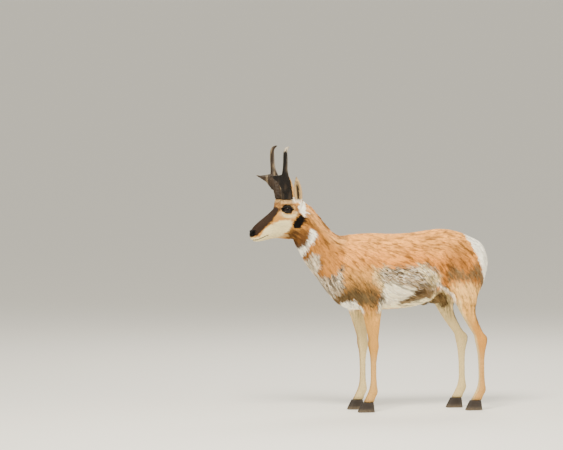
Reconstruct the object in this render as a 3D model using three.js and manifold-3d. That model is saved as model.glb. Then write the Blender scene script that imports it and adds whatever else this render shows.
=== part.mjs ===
// A pronghorn buck, standing, at life size. Millimetres, +Z up, nose towards -X, left side towards -Y.
// Its outline is given in profile, as pairs of points on the two edges of each part, with a half width between.
import * as THREE from "three";
import { mergeVertices } from "three/addons/utils/BufferGeometryUtils.js";
import Module from "manifold-3d";

const wasm = await Module();
wasm.setup();

// Driving dimensions
const GAP = 0.3; // what touching parts keep between them
const BODY_SIDES = 28;
const LEG_SIDES = 12;
const HORN_SIDES = 12;
const EAR_SIDES = 12;
const CLAW_SIDES = 12;
const HEAD_TURN = THREE.MathUtils.degToRad(8); // the head looks a little to the left
const NECK_BASE = new THREE.Vector2(-330, 760); // x, z where the turn begins
const NECK_TOP = new THREE.Vector2(-505, 955); // and where it is complete
const TURN_PIVOT_X = -400;
const EYE = { x: -604, y: 40, z: 1012, radius: 25, lid: 3.5 };
const EYE_OPENING = { length: 47, height: 29, tilt: -0.12 };
const PEDICEL_TOP = 1065; // where the horn sheaths begin
const CORONET_HEIGHT = 50; // where the claws begin
const FORELEG_CUT = 498; // the foreleg is named from here down
const HINDLEG_CUT = 560;
const CARPUS_CUT = 318;
const HOCK_CUT = 322;
const NAPE_LOCKS = { count: 16, length: 66, width: 24, thickness: 5, lift: 7 };

const COLOURS = {
  tan: [0xc08a5c, 0.9, 0],
  pale: [0xd8b48a, 0.9, 0],
  white: [0xf1ece0, 0.92, 0],
  horn: [0x2b2421, 0.5, 0],
  hoof: [0x1d1a18, 0.45, 0],
  eye: [0x0c0908, 0.08, 0],
};

// A rib is [front or upper x, z, back or lower x, z, lateral centre y, half width, widest level, two roundnesses].
// The widest level is -1 at the second edge and +1 at the first. A roundness of 2 is an ellipse, less is pointed.
const TORSO_RIBS = [
  [434, 778, 437, 734, 0, 28, 0, 2, 2],
  [424, 812, 434, 682, 0, 66, 0, 2, 2],
  [406, 838, 418, 642, 0, 90, 0, 2.1, 2],
  [366, 861, 372, 612, 0, 107, 0, 2.1, 2.5],
  [315, 884, 310, 602, 0, 116, 0, 2.1, 2.8],
  [255, 901, 245, 602, 0, 119, 0.02, 2.1, 2.6],
  [190, 905, 190, 574, 0, 119, 0, 2.0, 2.1],
  [120, 897, 120, 533, 0, 124, -0.06, 2.0, 2.0],
  [40, 887, 40, 513, 0, 130, -0.1, 2.0, 2.0],
  [-50, 884, -50, 507, 0, 130, -0.12, 2.0, 2.0],
  [-130, 888, -128, 505, 0, 122, -0.12, 1.95, 2.15],
  [-200, 888, -196, 504, 0, 111, -0.12, 1.9, 2.2],
  [-262, 882, -262, 510, 0, 102, -0.1, 1.9, 2.1],
];
const NECK_RIBS = [
  [-304, 877, -318, 534, 0, 95, -0.1, 1.9, 1.95],
  [-328, 880, -356, 572, 0, 86, -0.08, 1.9, 2],
  [-349, 892, -394, 620, 0, 77, -0.06, 1.95, 2],
  [-374, 916, -432, 672, 0, 69, -0.04, 2, 2],
  [-403, 951, -475, 723, 0, 62, 0, 2, 2],
  [-435, 988, -511, 781, 0, 57, 0, 2, 2],
  [-468, 1023, -540, 829, 0, 54, 0, 2, 2],
];
const HEAD_RIBS = [
  [-505, 1054, -554, 863, 0, 53, 0.1, 2, 1.9],
  [-543, 1070, -576, 863, 0, 53, 0.2, 2.1, 1.75],
  [-583, 1075, -606, 865, 0, 54, 0.28, 2.2, 1.7],
  [-617, 1060, -634, 869, 0, 50, 0.3, 2.2, 1.7],
  [-647, 1027, -660, 869, 0, 42, 0.22, 2.2, 1.8],
  [-676, 1000, -688, 865, 0, 34, 0.1, 2.2, 2],
  [-706, 977, -714, 859, 0, 29, 0.05, 2.3, 2.1],
  [-736, 955, -739, 855, 0, 26, 0.05, 2.3, 2.2],
  [-760, 933, -758, 857, 0, 24.5, 0.1, 2.3, 2.2],
  [-777, 911, -774, 865, 0, 20, 0.1, 2.2, 2.2],
  [-784, 899, -783, 880, 0, 10, 0, 2, 2],
  [-785, 893, -785, 887, 0, 3, 0, 2, 2],
];
// Left fore and hind legs: the right ones differ by a shift of each rib along X.
const FORELEG_RIBS = [
  [-305, 720, -190, 720, 46, 26, 0, 2, 2],
  [-308, 645, -145, 640, 62, 34, 0, 2, 2],
  [-276, 576, -108, 562, 75, 35, 0, 2, 2],
  [-230, 525, -114, 516, 86, 30, 0.1, 2, 2],
  [-205, 455, -124, 453, 88, 26, 0.1, 2, 2],
  [-193, 400, -130, 400, 88, 23, 0, 2, 2],
  [-186, 362, -134, 360, 88, 21, 0, 2.3, 2.2],
  [-188, 334, -131, 328, 88, 22, 0, 2.4, 2.2],
  [-180, 300, -136, 298, 88, 17.5, 0, 2.2, 2.1],
  [-175, 250, -143, 250, 88, 13.5, 0, 2, 2],
  [-174, 165, -143, 165, 88, 12.5, 0, 2, 2],
  [-178, 128, -139, 126, 88, 15.5, 0, 2, 2],
  [-183, 110, -136, 98, 88, 18, 0, 2, 2],
  [-192, 88, -148, 72, 88, 16.5, 0, 2, 2],
  [-203, 66, -156, 52, 88, 18, 0, 2, 2],
  [-212, 48, -158, 40, 88, 20, 0, 2, 2],
];
const FORELEG_FAR_SHIFT = [0, -16, -26, -30, -24, -18, -14, -12, -12, -12, -12, -12, -12, -12, -12, -12];
const HINDLEG_RIBS = [
  [235, 800, 396, 795, 46, 34, 0, 2, 2],
  [200, 720, 424, 712, 58, 48, 0, 2, 2],
  [180, 655, 419, 647, 65, 50, 0, 2, 2],
  [202, 602, 388, 592, 74, 45, 0, 2, 2],
  [249, 556, 374, 540, 82, 37, 0, 2, 2],
  [284, 496, 369, 485, 85, 30, 0.1, 2, 2],
  [315, 444, 385, 434, 87, 25, 0.1, 2, 1.9],
  [341, 402, 407, 388, 87, 21, 0.1, 2, 1.8],
  [358, 374, 427, 366, 87, 19, 0.1, 2.1, 1.8],
  [364, 344, 428, 340, 87, 20, 0.1, 2.2, 1.9],
  [373, 304, 418, 300, 87, 17, 0, 2.1, 2],
  [379, 252, 413, 250, 87, 13.5, 0, 2, 2],
  [382, 165, 414, 165, 87, 12.5, 0, 2, 2],
  [378, 128, 418, 126, 87, 15.5, 0, 2, 2],
  [373, 110, 421, 98, 87, 18, 0, 2, 2],
  [363, 88, 408, 72, 87, 16.5, 0, 2, 2],
  [351, 66, 399, 52, 87, 18, 0, 2, 2],
  [342, 48, 396, 40, 87, 20, 0, 2, 2],
];
const HINDLEG_FAR_SHIFT = [0, -8, -26, -52, -70, -69, -64, -60, -56, -55, -55, -55, -55, -55, -55, -55, -55, -55];
// One claw, from its top to its flat sole, measured from the middle of the pastern's lower end.
const CLAW_RIBS = [
  [-29, CORONET_HEIGHT - GAP, 25, CORONET_HEIGHT - GAP, 10.4, 9.6, 0, 2, 2.2],
  [-39, 32, 28, 32, 11, 10.2, -0.1, 1.8, 2.2],
  [-49, 14, 30, 14, 11.8, 10.8, -0.15, 1.7, 2.2],
  [-55, 0, 31, 0, 12.4, 11.2, -0.2, 1.6, 2.2],
];
const HORN_RIBS = [
  [-648, 1002, -556, 1006, 32, 24, 0, 2, 2],
  [-640, 1044, -566, 1046, 41, 20.5, 0, 2, 2],
  [-634, 1064, -573, 1064, 46, 18, 0, 2, 2],
  [-637, 1092, -579, 1094, 51, 17, 0, 1.9, 2],
  [-642, 1120, -586, 1122, 58, 15.5, -0.1, 1.8, 2],
  [-648, 1148, -593, 1150, 66, 14.5, -0.1, 1.8, 2],
  [-649, 1172, -604, 1174, 73, 13.5, -0.1, 1.9, 2],
  [-645, 1194, -613, 1196, 79, 12.5, 0, 2, 2],
  [-643, 1218, -618, 1220, 85, 11.5, 0, 2, 2],
  [-643, 1252, -619, 1253, 90, 10.5, 0, 2, 2],
  [-643, 1284, -621, 1282, 92, 9.5, 0, 2, 2],
  [-640, 1308, -622, 1299, 91, 8, 0, 2, 2],
  [-630, 1322, -619, 1310, 88, 6, 0, 2, 2],
  [-616, 1327, -611, 1320, 84, 3, 0, 2, 2],
  [-608, 1327, -607, 1324, 82, 1.2, 0, 2, 2],
];
const PRONG_RIBS = [
  [-612, 1182, -614, 1090, 66, 11.5, 0, 2, 2],
  [-641, 1190, -643, 1112, 74, 11.5, 0, 2, 1.8],
  [-667, 1186, -668, 1149, 81, 8.5, 0, 2, 1.8],
  [-690, 1184, -692, 1168, 88, 5, 0, 2, 1.9],
  [-706, 1187, -707, 1179, 92, 2.8, 0, 2, 2],
  [-714, 1190, -715, 1187, 95, 1, 0, 2, 2],
];
// The ear in its own frame: length along Z, width along X, the cup opening towards +Y.
const EAR_RIBS = [
  [-13, -26, 13, -26, 0, 12, 0, 2, 2],
  [-15, 0, 15, 0, 0, 14, 0, 2, 2],
  [-20, 30, 19, 30, 0, 16, 0, 2, 2],
  [-22, 60, 21, 60, 0, 15, 0, 2, 2],
  [-19, 88, 18, 88, 2, 12, 0, 2, 2],
  [-12, 114, 11, 114, 4, 7.5, 0, 2, 2],
  [-4, 132, 4, 132, 6, 3.5, 0, 2, 2],
  [-1, 139, 1, 139, 7, 1.2, 0, 2, 2],
];
const PRONG_FAR_DROP = 9; // the right prong's tip hangs this much lower
const EAR_WALL = 3.4;
const EAR_ROOT = new THREE.Vector3(-541, -42, 1040);
const EAR_TIP_DIRECTION = new THREE.Vector3(-0.108, -0.058, 0.992).normalize();
const EAR_OPENING = new THREE.Vector3(-0.62, -0.78, -0.05);
const TAIL_RIBS = [
  [380, 822, 388, 786, 0, 18, 0, 2, 2],
  [410, 818, 392, 776, 0, 23, 0, 2, 2],
  [436, 794, 413, 766, 0, 24, 0, 2, 2],
  [447, 756, 426, 744, 0, 22, 0, 2, 2],
  [448, 719, 432, 716, 0, 17, 0, 2, 2],
  [443, 691, 433, 691, 0, 9, 0, 2, 2],
  [438, 676, 434, 678, 0, 2, 0, 2, 2],
];
// Swellings and hollows of the sides: x, z, radius along, radius across, lean, height.
const MUSCLES = {
  shoulderBlade: [-262, 770, 70, 105, 0.35, 9],
  upperArm: [-235, 655, 78, 72, 0.2, 13],
  shoulderPoint: [-335, 660, 45, 55, 0.3, 7],
  haunch: [300, 735, 105, 95, 0, 11],
  hipBone: [232, 846, 42, 26, 0.2, 7],
  flankHollow: [165, 770, 42, 62, 0, -9],
  behindShoulder: [-135, 760, 34, 105, 0.1, -6],
  neckGroove: [-445, 800, 70, 16, -0.9, -4],
  orbit: [-606, 1010, 46, 34, 0.25, 8],
  cheek: [-590, 930, 46, 36, 0, 4],
  muzzleHollow: [-672, 925, 36, 26, 0.8, -3],
};

// Geometry helpers
function catmullRom(a, b, c, d, t) {
  return (
    0.5 * (2 * b + (c - a) * t + (2 * a - 5 * b + 4 * c - d) * t * t + (3 * b - a - 3 * c + d) * t * t * t)
  );
}

// The ribs with steps rows from each to the next.
function smoothRibs(ribs, steps) {
  const rows = [];
  for (let i = 0; i < ribs.length - 1; i++) {
    const near = [ribs[Math.max(i - 1, 0)], ribs[i], ribs[i + 1], ribs[Math.min(i + 2, ribs.length - 1)]];
    for (let k = 0; k < steps; k++)
      rows.push(ribs[i].map((_, n) => catmullRom(...near.map((rib) => rib[n]), k / steps)));
  }
  rows.push(ribs[ribs.length - 1]);
  return rows;
}

// An end row moved away from the row next to it.
function pushedOut(row, next, distance) {
  const away = new THREE.Vector2(row[0] + row[2] - next[0] - next[2], row[1] + row[3] - next[1] - next[3]);
  away.setLength(distance);
  const move = [away.x, away.y, away.x, away.y];
  return row.map((value, n) => value + (move[n] ?? 0));
}

// A closed solid through the ribs, grown outwards by grow.
function loft(ribs, { sides, steps = 2, grow = 0 }) {
  const positions = [];
  const rows = smoothRibs(ribs, steps);
  rows[0] = pushedOut(rows[0], rows[1], grow);
  rows.push(pushedOut(rows.pop(), rows[rows.length - 1], grow));
  for (const [px, pz, qx, qz, y, width, level, firstRound, secondRound] of rows) {
    const half = new THREE.Vector2((px - qx) / 2, (pz - qz) / 2);
    half.setLength(half.length() + grow);
    for (let i = 0; i < sides; i++) {
      const angle = (2 * Math.PI * (i + 0.5)) / sides;
      const [along, across] = [Math.sin(angle), Math.cos(angle)];
      const power = 2 / (along > 0 ? firstRound : secondRound);
      const reach = Math.sign(along) * Math.abs(along) ** power;
      const share = level + reach * (along > 0 ? 1 - level : 1 + level);
      const side = Math.sign(across) * Math.abs(across) ** power;
      positions.push((px + qx) / 2 + half.x * share, y + side * (width + grow), (pz + qz) / 2 + half.y * share);
    }
  }
  const faces = [];
  const cap = (start, turn) => {
    for (let i = 1; i < sides - 1; i++)
      faces.push(start, start + (turn ? i + 1 : i), start + (turn ? i : i + 1));
  };
  for (let r = 0; r < rows.length - 1; r++)
    for (let i = 0; i < sides; i++) {
      const [a, b] = [r * sides + i, r * sides + ((i + 1) % sides)];
      faces.push(a, b, a + sides, b, b + sides, a + sides);
    }
  cap(0, true);
  cap((rows.length - 1) * sides, false);
  const geometry = new THREE.BufferGeometry();
  geometry.setAttribute("position", new THREE.Float32BufferAttribute(positions, 3));
  geometry.setIndex(faces);
  return geometry;
}

function solid(geometry) {
  const bare = new THREE.BufferGeometry();
  bare.setAttribute("position", geometry.getAttribute("position").clone());
  if (geometry.index) bare.setIndex(geometry.index.clone());
  const merged = mergeVertices(bare, 1e-3);
  const made = new wasm.Manifold(
    new wasm.Mesh({
      numProp: 3,
      vertProperties: new Float32Array(merged.attributes.position.array),
      triVerts: new Uint32Array(merged.index.array),
    }),
  );
  if (made.volume() > 0) return made;
  const turned = merged.index.array.slice();
  for (let i = 0; i < turned.length; i += 3) [turned[i + 1], turned[i + 2]] = [turned[i + 2], turned[i + 1]];
  return new wasm.Manifold(
    new wasm.Mesh({
      numProp: 3,
      vertProperties: new Float32Array(merged.attributes.position.array),
      triVerts: new Uint32Array(turned),
    }),
  );
}

function largest(made) {
  return made.decompose().reduce((best, piece) => (piece.volume() > best.volume() ? piece : best));
}

function geometryOf(made) {
  const mesh = made.getMesh();
  const geometry = new THREE.BufferGeometry();
  geometry.setAttribute("position", new THREE.BufferAttribute(new Float32Array(mesh.vertProperties), 3));
  geometry.setIndex(new THREE.BufferAttribute(new Uint32Array(mesh.triVerts), 1));
  geometry.computeVertexNormals();
  return geometry;
}

// Each vertex of the geometry moved by change(vector).
function reshape(geometry, change) {
  const places = geometry.getAttribute("position");
  const point = new THREE.Vector3();
  for (let i = 0; i < places.count; i++) {
    change(point.fromBufferAttribute(places, i));
    places.setXYZ(i, point.x, point.y, point.z);
  }
  return geometry;
}

// The neck bends and the head turns to the left about a vertical line through the base of the neck.
function turnHead(point) {
  const run = NECK_TOP.clone().sub(NECK_BASE);
  const along = new THREE.Vector2(point.x, point.z).sub(NECK_BASE).dot(run) / run.lengthSq();
  const angle = HEAD_TURN * THREE.MathUtils.smoothstep(along, 0.05, 0.8);
  const [x, y] = [point.x - TURN_PIVOT_X, point.y];
  point.x = TURN_PIVOT_X + x * Math.cos(angle) - y * Math.sin(angle);
  point.y = x * Math.sin(angle) + y * Math.cos(angle);
  return point;
}

function flex(point) {
  const side = Math.sign(point.y) * Math.min(1, Math.abs(point.y) / 45);
  for (const [x, z, along, across, lean, height] of Object.values(MUSCLES)) {
    const [dx, dz] = [point.x - x, point.z - z];
    const [u, v] = [dx * Math.cos(lean) + dz * Math.sin(lean), dz * Math.cos(lean) - dx * Math.sin(lean)];
    point.y += side * height * Math.exp(-((u / along) ** 2) - (v / across) ** 2);
  }
  return point;
}

const mirrored = (ribs, side) => ribs.map((rib) => rib.map((value, n) => (n === 4 ? value * side : value)));
const shifted = (ribs, shifts) =>
  ribs.map((rib, i) => rib.map((value, n) => (n === 0 || n === 2 ? value + shifts[i] : value)));

function ellipsoid(centre, radii, lean = 0, wide = 20, high = 12) {
  const geometry = new THREE.SphereGeometry(1, wide, high);
  geometry.scale(...radii).rotateY(lean);
  return geometry.translate(...centre);
}

// A block that fills everything ahead of the point in the given direction, by half a gap less.
function beyond(point, direction) {
  const size = 3000;
  const box = new THREE.BoxGeometry(size, size, size);
  const turn = new THREE.Quaternion().setFromUnitVectors(new THREE.Vector3(0, 0, 1), direction);
  box.applyQuaternion(turn);
  const centre = point.clone().addScaledVector(direction, size / 2 + GAP / 2);
  return solid(box.translate(centre.x, centre.y, centre.z));
}

// The body in one piece
function trunk() {
  const hide = loft([...TORSO_RIBS, ...NECK_RIBS, ...HEAD_RIBS], { sides: BODY_SIDES, steps: 2 });
  return solid(reshape(reshape(hide, flex), turnHead));
}

function legs() {
  const made = [];
  for (const side of [-1, 1]) {
    const fore = side < 0 ? FORELEG_RIBS : shifted(FORELEG_RIBS, FORELEG_FAR_SHIFT);
    const hind = side < 0 ? HINDLEG_RIBS : shifted(HINDLEG_RIBS, HINDLEG_FAR_SHIFT);
    made.push(solid(loft(mirrored(fore, side), { sides: LEG_SIDES, steps: 2 })));
    made.push(solid(loft(mirrored(hind, side), { sides: LEG_SIDES, steps: 2 })));
  }
  return made;
}

// Short flat locks along the nape, each rooted under the skin and bent back along the neck.
function napeLocks() {
  const locks = [];
  const line = smoothRibs([...NECK_RIBS, ...HEAD_RIBS.slice(0, 1)], 8).map(
    (row) => new THREE.Vector3(row[0], 0, row[1]),
  );
  const nape = new THREE.CatmullRomCurve3(line);
  for (let i = 0; i < NAPE_LOCKS.count; i++) {
    const share = 0.25 + (0.72 * i) / NAPE_LOCKS.count;
    const root = nape.getPointAt(share);
    const back = nape.getTangentAt(share).negate();
    const out = new THREE.Vector3(-back.z, 0, back.x);
    if (out.z < 0) out.negate();
    const sway = 9 * Math.sin(i * 2.4);
    const length = NAPE_LOCKS.length * (0.85 + 0.15 * Math.sin(i * 1.7));
    const ribs = [-0.18, 0.1, 0.4, 0.72, 1].map((t) => {
      const lift = t < 0 ? -9 : NAPE_LOCKS.lift * Math.sin(Math.PI * Math.min(1, t * 0.85));
      const middle = root.clone().addScaledVector(back, length * t).addScaledVector(out, lift);
      const thick = (NAPE_LOCKS.thickness / 2) * (1.1 - 0.95 * Math.max(0, t) ** 1.6);
      const wide = (NAPE_LOCKS.width / 2) * (1.05 - 0.97 * Math.max(0, t) ** 1.8);
      const first = middle.clone().addScaledVector(out, thick);
      const second = middle.clone().addScaledVector(out, -thick);
      return [first.x, first.z, second.x, second.z, sway * (0.6 + 0.7 * t), wide, 0, 2, 2];
    });
    locks.push(solid(reshape(loft(ribs, { sides: 4, steps: 1 }), turnHead)));
  }
  return locks;
}

function horn(side, grow = 0) {
  const shaft = loft(mirrored(HORN_RIBS, side), { sides: HORN_SIDES, steps: 2, grow });
  const drop = side > 0 ? PRONG_FAR_DROP / (PRONG_RIBS.length - 1) : 0;
  const lowered = PRONG_RIBS.map(([px, pz, qx, qz, ...rest], i) => [px, pz - drop * i, qx, qz - drop * i, ...rest]);
  const prong = loft(mirrored(lowered, side), { sides: HORN_SIDES, steps: 1, grow });
  return solid(reshape(shaft, turnHead)).add(solid(reshape(prong, turnHead)));
}

function eyeball(side, grow = 0) {
  const radius = EYE.radius + grow;
  return solid(reshape(ellipsoid([EYE.x, EYE.y * side, EYE.z], [radius, radius, radius], 0, 14, 9), turnHead));
}

// The lids wrap the front of the eyeball, and open in an almond.
function lids(side) {
  const radius = EYE.radius + EYE.lid;
  const around = ellipsoid([EYE.x, EYE.y * side, EYE.z], [radius + 3, radius, radius + 1], 0.2, 14, 9);
  return solid(reshape(around, turnHead));
}

function lidOpening(side) {
  const { length, height, tilt } = EYE_OPENING;
  const almond = new THREE.Shape();
  almond.moveTo(-length / 2, -3);
  almond.quadraticCurveTo(-length * 0.1, height * 0.95, length / 2, 2);
  almond.quadraticCurveTo(length * 0.05, -height, -length / 2, -3);
  const plug = new THREE.ExtrudeGeometry(almond, { depth: 40, bevelEnabled: false, curveSegments: 6 });
  plug.rotateX(Math.PI / 2).rotateY(tilt);
  plug.translate(EYE.x, side < 0 ? EYE.y * side - 4 : EYE.y + 44, EYE.z);
  return solid(reshape(plug, turnHead));
}

// The line of the mouth: a thin curved slot that stops short of the muzzle's core.
function mouthLine() {
  const low = [
    [-795, 862],
    [-768, 862],
    [-752, 864],
    [-728, 870],
    [-702, 882],
  ].map(([x, z]) => new THREE.Vector2(x, z));
  const lower = new THREE.SplineCurve(low).getPoints(7);
  const upper = lower.map((p, i) => new THREE.Vector2(p.x, p.y + 3.2 - 0.2 * i)).reverse();
  const strip = new THREE.ExtrudeGeometry(new THREE.Shape([...lower, ...upper]), {
    depth: 90,
    bevelEnabled: false,
  });
  strip.rotateX(Math.PI / 2).translate(0, 45, 0);
  const core = loft(HEAD_RIBS.slice(3), { sides: 14, steps: 1, grow: -4 });
  return solid(reshape(strip, turnHead)).subtract(solid(reshape(core, turnHead)));
}

// The wing of the nostril, or with open the hollow in it.
function nostril(side, open) {
  const radii = open ? [9, 7, 4.4] : [13, 9, 8];
  const centre = open ? [-770, 24 * side, 900] : [-766, 15 * side, 899];
  return solid(reshape(ellipsoid(centre, radii, 0.75, 12, 8), turnHead));
}

function ear(side, grow = 0, hollow = true) {
  const along = EAR_TIP_DIRECTION.clone();
  const opening = EAR_OPENING.clone().addScaledVector(along, -EAR_OPENING.dot(along)).normalize();
  const across = new THREE.Vector3().crossVectors(opening, along);
  const place = new THREE.Matrix4().makeBasis(across, opening, along).setPosition(EAR_ROOT);
  const shape = (ribs, extra) => {
    const made = loft(ribs, { sides: EAR_SIDES, steps: 1, grow: extra }).applyMatrix4(place);
    return solid(reshape(made.scale(1, -side, 1), turnHead));
  };
  const outer = shape(EAR_RIBS, grow);
  if (!hollow) return outer;
  const cup = EAR_RIBS.slice(1).map(([ax, az, bx, bz, y, width, ...rest], i) => {
    const open = i === 0 ? 6 : width * 0.8 + 3;
    return [ax + EAR_WALL, az, bx - EAR_WALL, bz, y + open, width, ...rest];
  });
  return outer.subtract(shape(cup.slice(0, -2), 0));
}

function tail(grow = 0) {
  return solid(loft(TAIL_RIBS, { sides: LEG_SIDES, steps: 2, grow }));
}

function sheath() {
  return [
    solid(ellipsoid([148, 0, 553], [52, 18, 18], 0.35, 12, 8)),
    solid(ellipsoid([116, 0, 534], [17, 12, 14], 0.5, 10, 6)),
  ];
}

// Nodes
const group = new THREE.Group();

function addNode(name, made, colour) {
  const [hex, roughness, metalness] = COLOURS[colour];
  const material = new THREE.MeshStandardMaterial({ color: hex, roughness, metalness });
  const mesh = new THREE.Mesh(geometryOf(largest(made)), material);
  mesh.name = name;
  group.add(mesh);
}

const SIDES = { left: -1, right: 1 };
let body = wasm.Manifold.union([trunk(), ...legs(), ...sheath(), ...napeLocks()]);
for (const side of [-1, 1]) {
  const above = beyond(new THREE.Vector3(0, 0, PEDICEL_TOP - GAP), new THREE.Vector3(0, 0, 1));
  const pedicel = horn(side).subtract(above);
  body = wasm.Manifold.union([body, pedicel, lids(side), nostril(side, false)]);
  body = body.subtract(horn(side, GAP).intersect(above)).subtract(nostril(side, true));
  body = body.subtract(lidOpening(side)).subtract(eyeball(side, GAP)).subtract(ear(side, GAP, false));
}
body = body.subtract(mouthLine()).subtract(tail(GAP));

// Half of space ahead of a cut through two points of the profile, turned with the head where it is cut there.
function cutThrough([ax, az], [bx, bz]) {
  const a = turnHead(new THREE.Vector3(ax, 0, az));
  const b = turnHead(new THREE.Vector3(bx, 0, bz));
  const across = turnHead(new THREE.Vector3((ax + bx) / 2, 10, (az + bz) / 2));
  across.sub(turnHead(new THREE.Vector3((ax + bx) / 2, 0, (az + bz) / 2)));
  const forward = across.cross(b.clone().sub(a)).normalize();
  if (forward.x > 0) forward.negate();
  return [a, forward];
}

const [headAt, headForward] = cutThrough([-493, 1033], [-550, 847]);
const [neckAt, neckForward] = cutThrough([-322, 879], [-392, 616]);
const behind = (point, forward) => beyond(point, forward.clone().negate());
addNode("head", body.intersect(beyond(headAt, headForward)), "pale");
addNode("neck", body.intersect(behind(headAt, headForward)).intersect(beyond(neckAt, neckForward)), "tan");

const up = new THREE.Vector3(0, 0, 1);
const down = new THREE.Vector3(0, 0, -1);
const at = (z) => new THREE.Vector3(0, 0, z);
// The column of space that holds one leg below its cut.
function legSpace(side, fore, top) {
  const [low, high, inner] = fore ? [-420, -60, GAP / 2] : [165, 520, 38];
  const box = new THREE.BoxGeometry(high - low, 200, top + 100);
  const centre = [(low + high) / 2, side * (100 + inner), (top - 100) / 2 - GAP / 2];
  return solid(box.translate(...centre));
}

let torso = body.intersect(behind(neckAt, neckForward));
for (const fore of [true, false])
  for (const [word, side] of Object.entries(SIDES)) {
    const [top, joint] = fore ? [FORELEG_CUT, CARPUS_CUT] : [HINDLEG_CUT, HOCK_CUT];
    const name = (fore ? "foreleg_" : "hindleg_") + word;
    const leg = largest(torso.intersect(legSpace(side, fore, top)));
    torso = torso.subtract(legSpace(side, fore, top + GAP));
    addNode(name, leg.intersect(beyond(at(joint), up)), "pale");
    const cannon = leg.intersect(beyond(at(joint), down)).intersect(beyond(at(CORONET_HEIGHT), up));
    addNode((fore ? "forecannon_" : "hindcannon_") + word, cannon, "pale");
    const ribs = fore ? FORELEG_RIBS : HINDLEG_RIBS;
    const shifts = fore ? FORELEG_FAR_SHIFT : HINDLEG_FAR_SHIFT;
    const last = ribs[ribs.length - 1];
    const middle = (last[0] + last[2]) / 2 + (side > 0 ? shifts[shifts.length - 1] : 0);
    for (const [toe, out] of Object.entries({ outer: side, inner: -side })) {
      const claw = loft(mirrored(CLAW_RIBS, out), { sides: CLAW_SIDES, steps: 1 });
      claw.translate(middle, last[4] * side, 0);
      addNode(`claw_${fore ? "fore" : "hind"}_${word}_${toe}`, solid(claw), "hoof");
    }
  }
addNode("torso", torso, "tan");
addNode("tail", tail(), "white");
for (const [word, side] of Object.entries(SIDES)) {
  const above = beyond(new THREE.Vector3(0, 0, PEDICEL_TOP), new THREE.Vector3(0, 0, 1));
  addNode("horn_" + word, horn(side).intersect(above), "horn");
  addNode("eye_" + word, eyeball(side), "eye");
  addNode("ear_" + word, ear(side), "tan");
}

// The origin is on the floor, under the middle of the bounding box.
const box = new THREE.Box3().setFromObject(group);
const middle = box.getCenter(new THREE.Vector3());
group.position.set(-middle.x, -middle.y, -box.min.z);

export default group;
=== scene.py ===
# %% [markdown]
# # A pronghorn buck, life size
# The solids give the animal's form. This lesson dresses them: one skin over the whole body, a coat of
# hair tufts that lie the way the real hair lies, horns, ears, eyes, lids, lashes and hooves.
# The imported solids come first, because every piece here takes its place from them.

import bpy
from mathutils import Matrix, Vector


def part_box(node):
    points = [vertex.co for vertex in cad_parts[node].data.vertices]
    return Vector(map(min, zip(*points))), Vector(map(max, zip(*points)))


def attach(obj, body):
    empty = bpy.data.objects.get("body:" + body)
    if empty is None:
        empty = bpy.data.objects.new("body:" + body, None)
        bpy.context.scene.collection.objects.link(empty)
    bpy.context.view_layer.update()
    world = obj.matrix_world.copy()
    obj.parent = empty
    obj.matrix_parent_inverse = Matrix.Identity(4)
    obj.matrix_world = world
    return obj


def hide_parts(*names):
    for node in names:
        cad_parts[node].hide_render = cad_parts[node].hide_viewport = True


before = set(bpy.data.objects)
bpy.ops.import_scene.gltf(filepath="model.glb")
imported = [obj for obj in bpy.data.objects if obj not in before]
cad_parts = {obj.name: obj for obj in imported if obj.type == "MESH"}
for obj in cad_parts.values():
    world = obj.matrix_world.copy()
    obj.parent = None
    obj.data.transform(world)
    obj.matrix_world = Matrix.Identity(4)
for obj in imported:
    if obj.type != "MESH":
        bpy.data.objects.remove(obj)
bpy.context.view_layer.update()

# %% What the lesson works with
import math

import bmesh
import bpy
import numpy as np
from mathutils import Vector
from mathutils.bvhtree import BVHTree

MM = 0.001
SEED = 3460
dice = np.random.default_rng(SEED)
LEFT, RIGHT = -1, 1
SIDE_NAMES = {LEFT: "left", RIGHT: "right"}

# %% [markdown]
# ## Straight coordinates
# The buck turns its head a little to its own left. All markings and folds are easier to place on an
# animal that looks straight ahead, so every point can be taken back to that straight pose, in
# millimetres: nose towards -X, its left side towards -Y, hooves at Z = 0. The turn grows smoothly along
# the neck. One claw whose straight place is known gives the shift between the two.

# %% Between the straight pose and the real one
CLAW_CORNER = np.array([316.2, -110.3, 0.0])
NECK_BASE = np.array([-330.0, 760.0])
NECK_TOP = np.array([-505.0, 955.0])
TURN = math.radians(8)
PIVOT = np.array([-400.0, 0.0, 0.0])
ROUNDS_BACK = 12
claw_low = np.array(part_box("claw_hind_left_outer")[0]) / MM
SHIFT = claw_low - CLAW_CORNER
SHIFT[2] = 0.0


def smooth(low, high, value):
    """0 below low, 1 above high, and an easy curve between."""
    t = np.clip((value - low) / (high - low), 0.0, 1.0)
    return t * t * (3 - 2 * t)


def turn_at(x, z):
    """How far the body has turned at this place along the neck, in radians."""
    run = NECK_TOP - NECK_BASE
    along = ((x - NECK_BASE[0]) * run[0] + (z - NECK_BASE[1]) * run[1]) / run.dot(run)
    return TURN * smooth(0.05, 0.8, along)


def turned(vectors, angle):
    """Vectors turned about the upright axis."""
    c, s = np.cos(angle), np.sin(angle)
    x, y = vectors[:, 0], vectors[:, 1]
    return np.stack([x * c - y * s, x * s + y * c, vectors[:, 2]], 1)


def to_real(straight):
    """Millimetres in the straight pose to metres on the real one."""
    angle = turn_at(straight[:, 0], straight[:, 2])
    return (turned(straight - PIVOT, angle) + PIVOT + SHIFT) * MM


def to_straight(real):
    """Metres on the real pose to millimetres in the straight one, by closing in on the angle."""
    goal = real / MM - SHIFT
    found = goal.copy()
    for _ in range(ROUNDS_BACK):
        angle = turn_at(found[:, 0], found[:, 2])
        found = turned(goal - PIVOT, -angle) + PIVOT
    return found


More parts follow.
